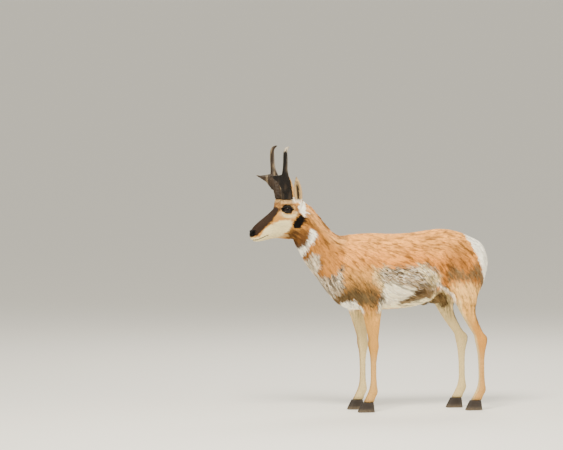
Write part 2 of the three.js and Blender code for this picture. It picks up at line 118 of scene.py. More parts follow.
probe = np.array([[-604.0, 40.0, 1012.0]])
trip_error = np.abs(to_straight(to_real(probe)) - probe).max()
print("shift, mm:", SHIFT.round(2), " round trip error, mm:", trip_error.round(6))

# %% [markdown]
# ## The camera
# The photograph was taken from far off with a long lens, a little above the animal's back and a little
# towards its head from its left side. The camera comes early, so that any piece can be looked at as soon
# as it is made. The view is 563 x 450 picture points, five millimetres each.

# %% Make the camera
VIEW_SIDE, VIEW_HEIGHT = math.radians(13), math.radians(3)
POINT_MM = 5.0
PICTURE_WIDE = 563
ORIGIN_POINT = (400.0, 410.0)
MIDDLE_POINT = (281.5, 225.0)
LENS, SENSOR = 320.0, 36.0
SIGHT_END = 1000

level = math.cos(VIEW_HEIGHT)
forward = Vector((math.sin(VIEW_SIDE) * level, math.cos(VIEW_SIDE) * level, -math.sin(VIEW_HEIGHT)))
across = Vector((math.cos(VIEW_SIDE), -math.sin(VIEW_SIDE), 0.0))
upward = across.cross(forward)
aim = Vector(SHIFT) * MM
aim += across * (MIDDLE_POINT[0] - ORIGIN_POINT[0]) * POINT_MM * MM
aim += upward * (ORIGIN_POINT[1] - MIDDLE_POINT[1]) * POINT_MM * MM
distance = PICTURE_WIDE * POINT_MM * MM * LENS / SENSOR

camera = bpy.data.objects.new("camera", bpy.data.cameras.new("camera"))
camera.data.lens, camera.data.sensor_width = LENS, SENSOR
camera.data.clip_end = SIGHT_END
camera.location = aim - forward * distance
camera.rotation_mode = "QUATERNION"
camera.rotation_quaternion = forward.to_track_quat("-Z", "Y")
bpy.context.scene.collection.objects.link(camera)
bpy.context.scene.camera = camera
print("camera", round(distance, 2), "m away")

# %% [markdown]
# ## Helpers for meshes
# Long lists of points are quickest as arrays, so meshes go in and out of Blender that way. The smoothing
# moves each point towards its neighbours and then about as far back, which takes bumps out and keeps the
# girth.

# %% Mesh helpers
STEP_IN, STEP_OUT = 0.5, -0.52
TOUCHING = 0.001 * MM


def points_of(mesh):
    """The mesh's points as an array."""
    flat = np.empty(len(mesh.vertices) * 3)
    mesh.vertices.foreach_get("co", flat)
    return flat.reshape(-1, 3)


def put_points(mesh, points):
    """Moves the mesh's points to these places."""
    mesh.vertices.foreach_set("co", points.ravel())
    mesh.update()


def edges_of(mesh):
    """The mesh's edges as pairs of point numbers."""
    flat = np.empty(len(mesh.edges) * 2, np.int32)
    mesh.edges.foreach_get("vertices", flat)
    return flat.reshape(-1, 2)


def triangles_of(mesh):
    """The mesh's faces as triangles of point numbers."""
    mesh.calc_loop_triangles()
    flat = np.empty(len(mesh.loop_triangles) * 3, np.int32)
    mesh.loop_triangles.foreach_get("vertices", flat)
    return flat.reshape(-1, 3)


def normals_of(points, triangles):
    """A unit normal at each point, from the faces round it."""
    corners = points[triangles]
    face = np.cross(corners[:, 1] - corners[:, 0], corners[:, 2] - corners[:, 0])
    total = np.zeros_like(points)
    for axis in range(3):
        for corner in range(3):
            total[:, axis] += np.bincount(triangles[:, corner], face[:, axis], len(points))
    return total / np.maximum(np.linalg.norm(total, axis=1, keepdims=True), 1e-12)


def relaxed(points, edges, rounds, weight=1.0):
    """Points smoothed along their edges, in pairs of steps: in, and back out, which keeps the girth."""
    a, b = edges.T
    count = np.maximum(np.bincount(edges.ravel(), minlength=len(points)), 1)[:, None]
    for _ in range(rounds):
        for step in (STEP_IN, STEP_OUT):
            near = np.empty_like(points)
            for axis in range(3):
                near[:, axis] = np.bincount(a, points[b, axis], len(points))
                near[:, axis] += np.bincount(b, points[a, axis], len(points))
            points = points + step * weight * (near / count - points)
    return points


def mesh_from(name, points, faces):
    """A mesh from arrays; every face has the same number of corners."""
    mesh = bpy.data.meshes.new(name)
    mesh.vertices.add(len(points))
    mesh.vertices.foreach_set("co", np.ascontiguousarray(points, np.float32).ravel())
    mesh.loops.add(faces.size)
    mesh.loops.foreach_set("vertex_index", np.ascontiguousarray(faces, np.int32).ravel())
    mesh.polygons.add(len(faces))
    mesh.polygons.foreach_set("loop_start", np.arange(0, faces.size, faces.shape[1], dtype=np.int32))
    mesh.update(calc_edges=True)
    return mesh


def placed(name, mesh):
    """An object at the origin that holds the mesh, shaded smooth."""
    piece = bpy.data.objects.new(name, mesh)
    bpy.context.scene.collection.objects.link(piece)
    mesh.polygons.foreach_set("use_smooth", np.ones(len(mesh.polygons), bool))
    return piece


def settled(holder):
    """The object's mesh with its modifiers worked in; the object itself goes."""
    graph = bpy.context.evaluated_depsgraph_get()
    found = bpy.data.meshes.new_from_object(holder.evaluated_get(graph))
    bpy.data.objects.remove(holder)
    return found


def outward_faces(mesh):
    """Joins points that touch and turns the faces of a closed mesh to point outwards."""
    bm = bmesh.new()
    bm.from_mesh(mesh)
    bmesh.ops.remove_doubles(bm, verts=bm.verts, dist=TOUCHING)
    bmesh.ops.recalc_face_normals(bm, faces=bm.faces)
    bm.to_mesh(mesh)
    bm.free()


def melted(name, nodes, grain, swell=0.0, plugs=()):
    """The named solids and plugs as one closed mesh of even squares, grain metres across."""
    bm = bmesh.new()
    for node in nodes:
        bm.from_mesh(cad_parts[node].data)
    bmesh.ops.remove_doubles(bm, verts=bm.verts, dist=0.01 * MM)
    bm.normal_update()
    for vert in bm.verts:
        vert.co += vert.normal * swell
    for centre, size in plugs:
        ball = bmesh.ops.create_icosphere(bm, subdivisions=3, radius=1.0)
        for vert in ball["verts"]:
            vert.co = Vector(centre) + Vector([a * b for a, b in zip(vert.co, size)])
    rough = bpy.data.meshes.new(name + "_rough")
    bm.to_mesh(rough)
    bm.free()
    holder = placed(name + "_rough", rough)
    remesh = holder.modifiers.new("Even squares", "REMESH")
    remesh.mode = "VOXEL"
    remesh.voxel_size = grain
    found = settled(holder)
    found.name = name
    return found


# %% [markdown]
# ## Patchy patterns
# A marking on an animal never has a ruled edge: single tufts cross it. So each outline is drawn as a
# plain polygon on the straight side view, and a smooth noise pushes its edge in and out. The noise is
# made of random numbers at the corners of a grid of cells, mixed smoothly inside each cell.

# %% Noise and outlines
CELL_KEYS = (73856093, 19349663, 83492791)


def speckle(points, size, seed=0):
    """Smooth noise from 0 to 1; size is a cell's width in the units of the points."""
    q = points / size + 13.7 * seed
    cell = np.floor(q).astype(np.int64)
    f = q - cell
    f = f * f * (3 - 2 * f)
    total = np.zeros(len(points))
    for corner in range(8):
        step = np.array([corner & 1, corner >> 1 & 1, corner >> 2 & 1])
        key_x, key_y, key_z = ((cell + step) * CELL_KEYS).T
        n = key_x ^ key_y ^ key_z ^ (seed * 7919)
        n = ((n ^ (n >> 13)) * 1274126177) & 0x7FFFFFFF
        value = ((n ^ (n >> 15)) & 0xFFFF) / 65535.0
        total += value * np.prod(np.where(step, f, 1 - f), axis=1)
    return total


def depth_in(outline, x, z):
    """How far inside the outline each place is, in millimetres; outside it is negative."""
    inside = np.zeros(len(x), bool)
    nearest = np.full(len(x), 1e9)
    for (ax, az), (bx, bz) in zip(outline, outline[1:] + outline[:1]):
        dx, dz = bx - ax, bz - az
        t = np.clip(((x - ax) * dx + (z - az) * dz) / (dx * dx + dz * dz), 0, 1)
        nearest = np.minimum(nearest, np.hypot(x - ax - t * dx, z - az - t * dz))
        if dz:
            crosses = (az > z) != (bz > z)
            inside ^= crosses & (x < ax + (z - az) / dz * dx)
    return np.where(inside, nearest, -nearest)


def to_line(line, x, z):
    """Distance to the broken line, how far along it (0 to 1), and which side (positive above)."""
    best, share, sign = np.full(len(x), 1e9), np.zeros(len(x)), np.ones(len(x))
    for i, ((ax, az), (bx, bz)) in enumerate(zip(line, line[1:])):
        dx, dz = bx - ax, bz - az
        t = np.clip(((x - ax) * dx + (z - az) * dz) / (dx * dx + dz * dz), 0, 1)
        off = np.hypot(x - ax - t * dx, z - az - t * dz)
        closer = off < best
        best, share = np.where(closer, off, best), np.where(closer, (i + t) / (len(line) - 1), share)
        sign = np.where(closer, np.sign(dx * (z - az) - dz * (x - ax)), sign)
    return best, share, sign


def linear(colour):
    """An sRGB hex colour as linear red, green and blue."""
    parts = np.array([int(colour[i : i + 2], 16) / 255 for i in (1, 3, 5)])
    return np.where(parts <= 0.04045, parts / 12.92, ((parts + 0.055) / 1.055) ** 2.4)


# %% [markdown]
# ## The markings
# A pronghorn is tan above with a white belly, rump and throat bands, a dark bridge of the nose, and in
# the buck a black patch under the ear. The outlines below are corners on the straight side view, x and
# z in millimetres; both sides of the animal share them. Where a marking runs round the edge of the side
# view, its outline simply goes on past it.

# %% Outlines of the markings
MARKS = {
    # The head.
    "cheek_white": [
        (-790, 880), (-768, 876), (-743, 882), (-714, 921), (-683, 937), (-657, 953), (-624, 965),
        (-593, 964), (-586, 945), (-588, 918), (-622, 884), (-660, 860), (-780, 830), (-810, 850),
    ],
    "under_eye": [
        (-632, 996), (-612, 986), (-584, 986), (-562, 1002), (-556, 992), (-580, 972), (-618, 972),
        (-640, 986),
    ],
    "chin_buff": [(-700, 868), (-650, 878), (-600, 892), (-590, 880), (-640, 862), (-700, 852)],
    "brow_brown": [
        (-655, 1003), (-640, 1042), (-608, 1052), (-562, 1040), (-560, 1028), (-600, 1040),
        (-632, 1026), (-643, 1000),
    ],
    "eye_buff": [
        (-655, 1000), (-640, 1040), (-600, 1052), (-560, 1030), (-548, 1000), (-580, 970), (-630, 972),
    ],
    "temple_brown": [(-568, 1030), (-545, 1030), (-538, 990), (-552, 972), (-566, 996)],
    "eye_ring": [
        (-640, 1020), (-620, 1038), (-595, 1036), (-570, 1013), (-588, 994), (-617, 994), (-634, 1004),
    ],
    "bridge": [
        (-810, 885), (-779, 880), (-757, 884), (-734, 906), (-714, 925), (-686, 948), (-667, 974),
        (-655, 995), (-640, 1012), (-650, 1030), (-700, 1015), (-800, 960),
    ],
    "nose_pad": [(-830, 910), (-774, 915), (-763, 908), (-766, 888), (-776, 880), (-830, 875)],
    "cheek_patch": [
        (-546, 992), (-516, 974), (-519, 953), (-530, 935), (-547, 922), (-571, 922), (-580, 941),
        (-575, 959), (-560, 972),
    ],
    "behind_ear": [
        (-508, 1056), (-503, 1033), (-512, 993), (-521, 972), (-534, 986), (-547, 1009), (-546, 1046),
    ],
    # The throat, the neck and the chest.
    "throat": [
        (-577, 924), (-520, 930), (-500, 900), (-508, 862), (-530, 830), (-555, 812), (-575, 850),
        (-600, 860), (-622, 884), (-592, 912),
    ],
    "band_high": [
        (-496, 930), (-470, 922), (-464, 894), (-483, 860), (-504, 832), (-520, 798), (-560, 786),
        (-560, 828), (-536, 852), (-514, 876), (-502, 900),
    ],
    "band_low": [
        (-474, 812), (-444, 806), (-440, 768), (-442, 734), (-446, 708), (-500, 715), (-512, 760),
        (-492, 792),
    ],
    "neck_front": [
        (-565, 870), (-515, 870), (-478, 812), (-424, 742), (-404, 688), (-455, 650), (-565, 775),
    ],
    "chest": [
        (-452, 708), (-398, 690), (-366, 712), (-326, 745), (-330, 690), (-324, 628), (-340, 602),
        (-360, 582), (-402, 578), (-440, 650),
    ],
    # The shoulder and the flank.
    "shoulder_dark": [
        (-362, 603), (-315, 628), (-264, 638), (-207, 630), (-162, 612), (-120, 585), (-126, 556),
        (-168, 552), (-205, 548), (-236, 550), (-262, 560), (-300, 552), (-330, 530), (-400, 530),
        (-400, 580),
    ],
    "shoulder_shade": [
        (-352, 640), (-300, 672), (-220, 668), (-160, 650), (-118, 610), (-118, 560), (-240, 550),
        (-370, 560),
    ],
    "elbow_dark": [(-148, 600), (-109, 580), (-120, 556), (-142, 560)],
    "elbow_pale": [
        (-196, 712), (-160, 742), (-105, 735), (-104, 640), (-118, 588), (-146, 600), (-172, 655),
    ],
    "between_legs": [
        (-312, 566), (-259, 573), (-223, 536), (-205, 505), (-215, 470), (-330, 470), (-330, 540),
    ],
    "flank": [
        (-163, 724), (-129, 733), (-91, 729), (-14, 732), (45, 742), (89, 748), (132, 730), (156, 706),
        (158, 687), (160, 640), (145, 590), (91, 596), (27, 592), (-29, 614), (-73, 644), (-108, 640),
        (-124, 632), (-146, 679),
    ],
    "fold_pale": [(112, 700), (166, 704), (172, 652), (152, 622), (120, 626)],
    "panel": [
        (-118, 646), (-81, 662), (-41, 640), (30, 622), (40, 600), (-22, 556), (-54, 540), (-95, 528),
        (-140, 498), (-150, 560),
    ],
    "above_stripe": [
        (-60, 575), (-10, 600), (50, 660), (120, 660), (150, 620), (145, 570), (46, 561), (-40, 534),
    ],
    "stripe": [
        (-58, 540), (-22, 560), (17, 590), (47, 612), (107, 626), (150, 612), (152, 574), (97, 569),
        (46, 558), (-2, 540), (-40, 531),
    ],
    "belly": [
        (-150, 525), (-100, 560), (20, 600), (80, 606), (160, 606), (180, 575), (190, 480), (-150, 470),
    ],
    # The rump, the thigh and what lies between the hind legs.
    "rump_side": [(182, 819), (250, 835), (307, 837), (333, 793), (325, 740), (270, 700), (199, 706)],
    "rump_fringe": [
        (190, 690), (225, 738), (300, 708), (350, 755), (400, 735), (424, 700), (420, 600), (388, 590),
        (368, 640), (330, 655), (262, 655), (205, 662),
    ],
    "rump_white": [
        (312, 925), (306, 876), (318, 852), (337, 820), (362, 784), (386, 745), (398, 708), (402, 668),
        (414, 636), (520, 636), (520, 925),
    ],
    "thigh": [
        (205, 622), (240, 650), (300, 656), (345, 652), (395, 636), (385, 560), (360, 440), (330, 400),
        (296, 440), (262, 520), (235, 575),
    ],
    "inner_thigh": [(138, 650), (215, 652), (272, 606), (292, 500), (146, 500)],
    # Painted shadow under the fold in front of the thigh.
    "groin_shadow": [
        (150, 600), (172, 632), (200, 626), (224, 602), (252, 575), (262, 530), (240, 505), (205, 545),
        (175, 570),
    ],
    "sheath": [(100, 560), (140, 580), (205, 600), (215, 560), (190, 525), (90, 500)],
}
print(len(MARKS), "markings,", sum(len(v) for v in MARKS.values()), "corners")

# %% [markdown]
# ## One colour rule for skin and hair
# The skin under the coat and every tuft ask the same function for their colour, so that a gap between
# two tufts never shows a wrong colour. Each tuft also brings its own random number, which makes some
# hairs darker and lets single dark-tipped tufts stand in the grey flank.

# %% The lie of the hair, which the colour rule needs for its streaks
ARROWS = np.array([
    (-770, 890, 0.85, 0.5), (-700, 960, 0.75, 0.65), (-640, 1040, 0.6, 0.8), (-520, 1060, 0.95, -0.3),
    (-620, 930, 0.95, -0.1), (-560, 900, 0.85, -0.5), (-740, 865, 1, 0), (-660, 880, 1, 0.05),
    (-450, 950, 0.62, -0.78), (-430, 820, 0.6, -0.8), (-490, 800, 0.45, -0.9), (-350, 760, 0.7, -0.7),
    (-370, 600, 0.3, -0.95), (-250, 850, 0.9, -0.42), (-250, 720, 0.75, -0.66), (-220, 620, 0.5, -0.87),
    (-150, 580, 0.6, -0.8), (-50, 860, 0.98, -0.2), (-50, 740, 0.93, -0.37), (-20, 650, 0.92, -0.4),
    (0, 540, 1, -0.1), (150, 870, 0.98, -0.18), (150, 680, 0.6, -0.8), (300, 800, 0.8, -0.6),
    (320, 720, 0.6, -0.8), (420, 760, 0.3, -0.95), (330, 620, 0.35, -0.94), (230, 620, 0.3, -0.95),
    (440, 740, 0.1, -1), (-180, 480, 0, -1), (-180, 300, 0, -1), (-180, 100, 0, -1),
    (300, 500, 0.1, -1), (380, 300, 0, -1), (370, 100, 0, -1),
])
STREAK_STEPS = np.linspace(-38.0, 38.0, 9)
CLUMP_CONTRAST = 4.5


def side_lie(s):
    """The hair's direction on the side view, mixed from the arrows by distance."""
    gap = np.hypot(s[:, 0][:, None] - ARROWS[:, 0], s[:, 2][:, None] - ARROWS[:, 1])
    pull = 1 / (gap + 12) ** 3
    return pull @ ARROWS[:, 2:] / pull.sum(1, keepdims=True)


def clumps(s, width, seed):
    """Noise drawn out along the hair, from 0 to 1: neighbours in one clump share it."""
    flat = side_lie(s)
    way = np.stack([flat[:, 0], np.zeros(len(s)), flat[:, 1]], 1)
    way /= np.maximum(np.linalg.norm(way, axis=1, keepdims=True), 1e-9)
    mean = sum(speckle(s + way * step, width, seed) for step in STREAK_STEPS) / len(STREAK_STEPS)
    return np.clip(0.5 + (mean - 0.5) * CLUMP_CONTRAST, 0, 1)


# %% The tones and lines of the colour rule
TONE_CODES = {
    # The trunk, from the back down.
    "back": "#E29C4E", "side": "#C97F34", "saddle": "#8E5424", "shoulder": "#BA8443", "low_brown": "#54442C",
    "grey": "#B39F80", "fleck": "#2A1F18", "cream": "#E2CB94", "belly": "#EADBB2", "white": "#FFFAEA",
    "stripe": "#5A4122",
    # The neck.
    "neck": "#A66E32", "nape": "#E2A865", "neck_front": "#80501F", "rufous": "#452C16",
    # The rump and the legs.
    "rump_side": "#9A6730", "fringe": "#6E5A3E", "thigh": "#E8B76C", "leg": "#DCA250", "dark_line": "#4C3220",
    # The head.
    "face": "#C68C44", "cheek": "#F0DFAC", "buff": "#E4BE84", "temple": "#7A4E2A", "bridge": "#34261E",
    "black": "#060403",
}
TONES = {name: linear(code) for name, code in TONE_CODES.items()}
HEAD_LINE = ((-555, 850), (-492, 1062))
NECK_LINE = ((-400, 600), (-300, 880))
NAPE_X, NAPE_Z = (-505, -403, -304), (1054, 951, 877)
PANEL_EDGE = [(-110, 645), (-81, 656), (-41, 632), (16, 610), (60, 600)]
FOLD_LINE = [(140, 652), (170, 642), (190, 634), (212, 616), (240, 590), (262, 548), (276, 510)]
MOUTH_LINE = [(-800, 866), (-787, 862), (-768, 864), (-756, 864.5),
              (-742, 868), (-729, 873), (-714, 880), (-699, 887)]
HORN_FOOT_X, HORN_FOOT_SIDE = -606, 33
STRAND_WIDTH, STRAND_SEED = 7.0, 31
TRESS_WIDTH, TRESS_SEED = 19.0, 32


def region_line(x, z, low, high):
    """How far in front of the line from low to high each place is, in millimetres."""
    (ax, az), (bx, bz) = low, high
    length = math.hypot(bx - ax, bz - az)
    return ((bz - az) * (ax - x) + (bx - ax) * (z - az)) / length


class Coat:
    """Places in the straight pose, what the colour rule asks about them, and their colour so far."""

    def __init__(self, places, normals, own):
        self.x, self.z, self.side = places[:, 0], places[:, 2], np.abs(places[:, 1])
        self.nx, self.nz = normals[:, 0], normals[:, 2]
        self.inward = -normals[:, 1] * np.sign(places[:, 1])
        self.rag = speckle(places, 11, 1) - 0.5
        self.fine = speckle(places * (0.35, 1, 1), 4.5, 2) - 0.5
        self.broad = speckle(places, 60, 3) - 0.5
        self.strand = clumps(places, STRAND_WIDTH, STRAND_SEED) - 0.5
        self.tress = clumps(places, TRESS_WIDTH, TRESS_SEED) - 0.5
        self.own = own
        self.dark = smooth(0.86, 0.92, own)
        self.light = smooth(0.26, 0.2, own)
        self.head = smooth(-6, 6, region_line(self.x, self.z, *HEAD_LINE))
        self.neck = smooth(-25, 25, region_line(self.x, self.z, *NECK_LINE)) * (1 - self.head)
        self.body = (1 - self.head) * (1 - self.neck)
        self.colour = np.tile(TONES["side"], (len(own), 1))

    def lay(self, tone, amount):
        """Covers the colour so far with a tone; amount is 0 to 1 at each place."""
        self.colour = self.colour + (TONES[tone] - self.colour) * np.clip(amount, 0, 1)[:, None]

    def inside(self, mark, soft=5.0, ragged=14.0, streak=8.0):
        """1 inside a marking, 0 outside; its edge is this soft, ragged and streaky, in millimetres."""
        deep = depth_in(MARKS[mark], self.x, self.z) + self.rag * ragged + self.fine * streak
        return smooth(-soft, soft, deep + (self.own - 0.5) * soft)


# %% The colour rule, one region after another
def colour_back_and_neck(coat):
    """The tan ground of the back and the neck with the darker saddle; the back and the nape are paler, partly
    as painted light from above.
    """
    x, z, body, neck = coat.x, coat.z, coat.body, coat.neck
    # The back is painted paler towards the top: partly its own tan, partly painted light from above.
    coat.lay("back", smooth(735, 850, z + coat.broad * 60) * body)
    coat.lay("shoulder", smooth(-110, -190, x + coat.broad * 50) * smooth(800, 700, z) * body)
    coat.lay("neck", neck)
    # The nape is painted paler: partly the hair's own paler tone, partly painted light along the top of the
    # neck.
    above_nape = z - np.interp(x, NAPE_X, NAPE_Z) + 30 * coat.broad
    coat.lay("nape", neck * smooth(-100, -15, above_nape) * 0.8)
    streaks = np.clip(0.8 + 0.9 * coat.strand, 0.3, 1)
    coat.lay("neck_front", coat.inside("neck_front", 16, 24) * (1 - coat.head) * streaks)
    coat.lay("saddle", smooth(70, 0, np.hypot((x - 235) / 1.3, z - 765)) * 0.75 * body)
    coat.lay("rump_side", coat.inside("rump_side", 26, 40) * 0.5)


def colour_flank(coat):
    """The grizzled flank over the pale panel and belly, the dark stripe on top of both, and painted shade in
    the crease above the panel.
    """
    x, z, strand, dark, light = coat.x, coat.z, coat.strand, coat.dark, coat.light
    coat.lay("cream", coat.inside("elbow_pale", 16, 34, 16) * (0.45 + 0.5 * light))
    coat.lay("fleck", coat.inside("elbow_pale", 12, 30, 16) * dark * 0.5)
    coat.lay("belly", np.maximum(coat.inside("panel", 8, 6), coat.inside("belly", 12, 6)))
    coat.lay("white", coat.inside("panel", 8, 6) * (0.45 + 0.4 * light))

    flank = coat.inside("flank", 12, 34, 16)
    coat.lay("grey", flank * 0.92)
    coat.lay("cream", flank * smooth(0.05, 0.4, coat.tress) * 0.7)
    coat.lay("cream", coat.inside("fold_pale", 14, 18) * 0.7)
    upper = 0.45 + 0.55 * smooth(660, 715, z) * smooth(-150, -100, x)
    coat.lay("fleck", flank * smooth(0.06, 0.32, strand) * upper * 0.7)
    coat.lay("fleck", flank * dark * 0.88)
    coat.lay("fleck", flank * smooth(0.68, 0.74, coat.own) * upper * 0.55)
    coat.lay("white", flank * light * 0.5)

    coat.lay("stripe", coat.inside("above_stripe", 18, 30) * (0.5 + 0.5 * dark))
    coat.lay("belly", coat.inside("panel", 4, 5, 5) * 0.9)
    coat.lay("white", coat.inside("panel", 4, 5, 5) * (0.25 + 0.5 * light))
    # Painted shade: a dark line along the crease at the top of the bare panel.
    off, share, _ = to_line(PANEL_EDGE, x, z)
    coat.lay("fleck", smooth(9, 3, off) * smooth(0, 0.1, share) * smooth(1, 0.9, share) * 0.6)
    under = coat.body * smooth(470, 520, z) * smooth(-0.5, -0.8, coat.nz)
    coat.lay("belly", under * smooth(-330, -300, x) * smooth(190, 160, x) * smooth(560, 530, z))
    coat.lay("stripe", coat.inside("stripe", 4, 6, 5) * (0.86 + 0.14 * dark))


def colour_shoulder_and_chest(coat):
    """The brown low shoulder, the grizzled chest and the two pale bands of the throat."""
    z, strand, dark, light = coat.z, coat.strand, coat.dark, coat.light
    coat.lay("low_brown", coat.inside("shoulder_dark", 22, 26, 16) * np.clip(0.8 + 1.2 * strand, 0.3, 1))
    streaks = np.clip(0.42 + 0.9 * strand + 0.3 * dark, 0, 0.8)
    coat.lay("low_brown", coat.inside("shoulder_shade", 34, 40, 20) * streaks)
    coat.lay("fleck", coat.inside("elbow_dark", 10, 10) * 0.7)
    coat.lay("white", coat.inside("between_legs", 3, 8) * 0.85)

    chest = coat.inside("chest", 8, 22, 12)
    coat.lay("grey", chest * 0.9)
    coat.lay("white", chest * (0.12 + 0.5 * light))
    coat.lay("fleck", chest * dark * 0.8)
    coat.lay("fleck", chest * smooth(0.10, 0.3, strand) * smooth(600, 645, z) * 0.85)

    low_band = coat.inside("band_low", 4, 8, 5)
    coat.lay("white", low_band * 0.9)
    coat.lay("grey", low_band * (0.6 + 0.4 * (coat.own > 0.6)))
    coat.lay("fleck", low_band * dark * 0.4)
    coat.lay("white", coat.inside("band_high", 2, 3, 2))


def colour_rear_and_legs(coat):
    """The thigh and its fringe, the legs with pale inner sides, painted shadow between the hind legs, and the
    white rump.
    """
    x, z, side, dark = coat.x, coat.z, coat.side, coat.dark
    streaks = np.clip(0.72 + 1.3 * coat.strand + 0.3 * dark, 0.3, 0.95)
    coat.lay("fringe", coat.inside("rump_fringe", 18, 30, 16) * streaks)
    coat.lay("thigh", coat.inside("thigh", 20, 20) * 0.85)
    fore = smooth(525, 500, z) * (x < 0)
    hind = smooth(600, 540, z) * (x > 120) * smooth(40, 52, side)
    coat.lay("leg", np.maximum(fore, hind * 0.7) * 0.9)
    coat.lay("cream", np.maximum(fore, hind) * smooth(0.05, 0.55, coat.inward))
    coat.lay("cream", hind * smooth(-0.35, -0.8, coat.nx) * 0.75)
    rearward = smooth(660, 600, z) * (x > 200) * smooth(0.55, 0.88, coat.nx)
    coat.lay("dark_line", rearward * smooth(260, 360, z) * 0.8)
    coat.lay("dark_line", fore * smooth(-0.5, -0.9, coat.nx) * smooth(420, 360, z) * 0.35)
    coat.lay("cream", smooth(330, 240, z) * 0.22)
    coat.lay("low_brown", smooth(75, 55, z) * 0.5)

    coat.lay("cream", coat.inside("inner_thigh", 10, 8) * smooth(88, 74, side))
    # Painted shadow between the hind legs, under the fold in front of the thigh.
    coat.lay("stripe", coat.inside("groin_shadow", 8, 6) * smooth(84, 66, side) * 0.9)
    coat.lay("stripe", coat.inside("sheath", 6, 4) * smooth(40, 30, side) * 0.85)
    off, share, _ = to_line(FOLD_LINE, x, z)
    fold = smooth(10, 5, off) * smooth(0, 0.1, share) * smooth(1, 0.7, share)
    coat.lay("white", fold * smooth(56, 68, side) * 0.6)
    coat.lay("white", coat.inside("rump_white", 4, 8))


def colour_face(coat):
    """The face: brown about the eye, pale cheeks, a dark bridge, and the black patch under the ear."""
    x, z, head = coat.x, coat.z, coat.head
    coat.lay("face", head)
    coat.lay("rufous", coat.inside("throat", 14, 16) * np.clip(0.8 + 0.9 * coat.strand, 0.4, 0.95))
    coat.lay("buff", head * coat.inside("eye_buff", 10, 8) * 0.5)
    coat.lay("temple", head * coat.inside("temple_brown", 6, 8) * 0.8)
    coat.lay("temple", head * coat.inside("brow_brown", 6, 6) * 0.85)
    coat.lay("temple", head * smooth(1030, 1050, z) * smooth(-590, -600, x) * 0.5)
    coat.lay("cheek", head * coat.inside("cheek_white", 5, 9))
    coat.lay("cheek", head * coat.inside("under_eye", 5, 4) * 0.8)
    coat.lay("buff", head * coat.inside("chin_buff", 5, 8) * 0.55)
    coat.lay("bridge", head * coat.inside("bridge", 4, 7))
    coat.lay("black", head * coat.inside("nose_pad", 3, 3))
    # Painted shade: a black line along the furrow of the mouth, then a darker spot at the mouth's corner,
    # where shade falls between the lips.
    off, share, _ = to_line(MOUTH_LINE, x, z)
    coat.lay("black", head * smooth(2.8, 1.0, off) * smooth(1.0, 0.97, share) * 0.85 * (x < -698))
    coat.lay("temple", head * smooth(7, 2, np.hypot(x + 700, z - 886)) * 0.5)
    coat.lay("white", coat.inside("behind_ear", 3, 5, 3))
    coat.lay("black", coat.inside("cheek_patch", 2, 3, 2))


def colour_crown(coat):
    """The hair round the feet of the horns, and the black hair about the eyes."""
    x, z, side, head = coat.x, coat.z, coat.side, coat.head
    foot = np.hypot(x - HORN_FOOT_X, side - HORN_FOOT_SIDE)
    front = smooth(-570, -590, x)
    coat.lay("buff", head * smooth(56, 44, foot) * smooth(1036, 1052, z) * 0.9)
    brown = head * smooth(62, 50, foot) * smooth(1034, 1050, z) * front
    coat.lay("temple", brown * (0.35 + 0.6 * coat.dark + 0.8 * coat.fine))
    coat.lay("bridge", head * smooth(50, 42, foot) * smooth(1054, 1062, z) * front * 0.9)
    between = head * smooth(1040, 1056, z) * smooth(-596, -580, x) * smooth(-535, -548, x)
    coat.lay("white", between * smooth(62, 52, side) * 0.8)
    coat.lay("black", head * coat.inside("eye_ring", 2, 2, 1) * smooth(40, 46, side))


def wear(coat):
    """How much lighter or darker than its tone each place is: each tuft's own tone, and painted light and
    shade along the hair's clumps.
    """
    head, rest = coat.head, 1 - coat.head
    marks = [coat.inside("panel"), coat.inside("rump_white"), coat.inside("band_high")]
    pale = np.maximum.reduce([*marks, head, smooth(520, 440, coat.z)])
    # Painted light and shade: streaks along the lie make the hair lighter and darker clump by clump, weaker
    # on the head, the legs and pale markings.
    clump_shading = 0.95 * rest * smooth(420, 520, coat.z) + 0.16
    clump_shading = clump_shading * (1 - 0.55 * pale * rest)
    shifted_tone = 1 - 0.30 * coat.dark * (1 - pale) - 0.16 * (coat.own - 0.5) + 0.06 * coat.fine + 0.10 * coat.broad
    shifted_tone = shifted_tone + clump_shading * (0.95 * coat.strand + 0.4 * coat.tress)
    return np.clip(shifted_tone, 0.34, 1.45)[:, None]


REGIONS = (
    colour_back_and_neck, colour_flank, colour_shoulder_and_chest,
    colour_rear_and_legs, colour_face, colour_crown,
)


def coat_colour(places, normals, own):
    """Linear colours for places in the straight pose; own is each tuft's random number, 0 to 1."""
    coat = Coat(places, normals, own)
    for colour_region in REGIONS:
        colour_region(coat)
    return coat.colour * wear(coat)


sample = coat_colour(np.array([[0.0, -60, 850]]), np.array([[0.0, -0.3, 0.95]]), np.array([0.5]))
print("a tuft on the back:", sample.round(3))

# %% [markdown]
# ## Materials
# Hair scatters light softly, so the coat is rough with a faint sheen. Its markings come from the colour
# rule, stored at each point; the material adds what is finer than a tuft: single hairs as streaks of
# about two millimetres, drawn coarser than the real 0.3 mm hair so that they show at all.
# Horn and hoof are keratin: dense, dark and a little glossy where rubbed. The rims of the lids are bare,
# moist, black skin.

# %% Material helpers
TINT_NAME = "Coat"


def node(tree, kind, settings=None, **links):
    """Adds a node; settings are its properties, links are values or sockets for its inputs."""
    made = tree.nodes.new(kind)
    for key, value in (settings or {}).items():
        setattr(made, key, value)
    for key, value in links.items():
        name = key.replace("_", " ")
        socket = made.inputs[int(key[1:])] if key[1:].isdigit() else made.inputs[name]
        if isinstance(value, bpy.types.NodeSocket):
            tree.links.new(value, socket)
        else:
            socket.default_value = value
    return made


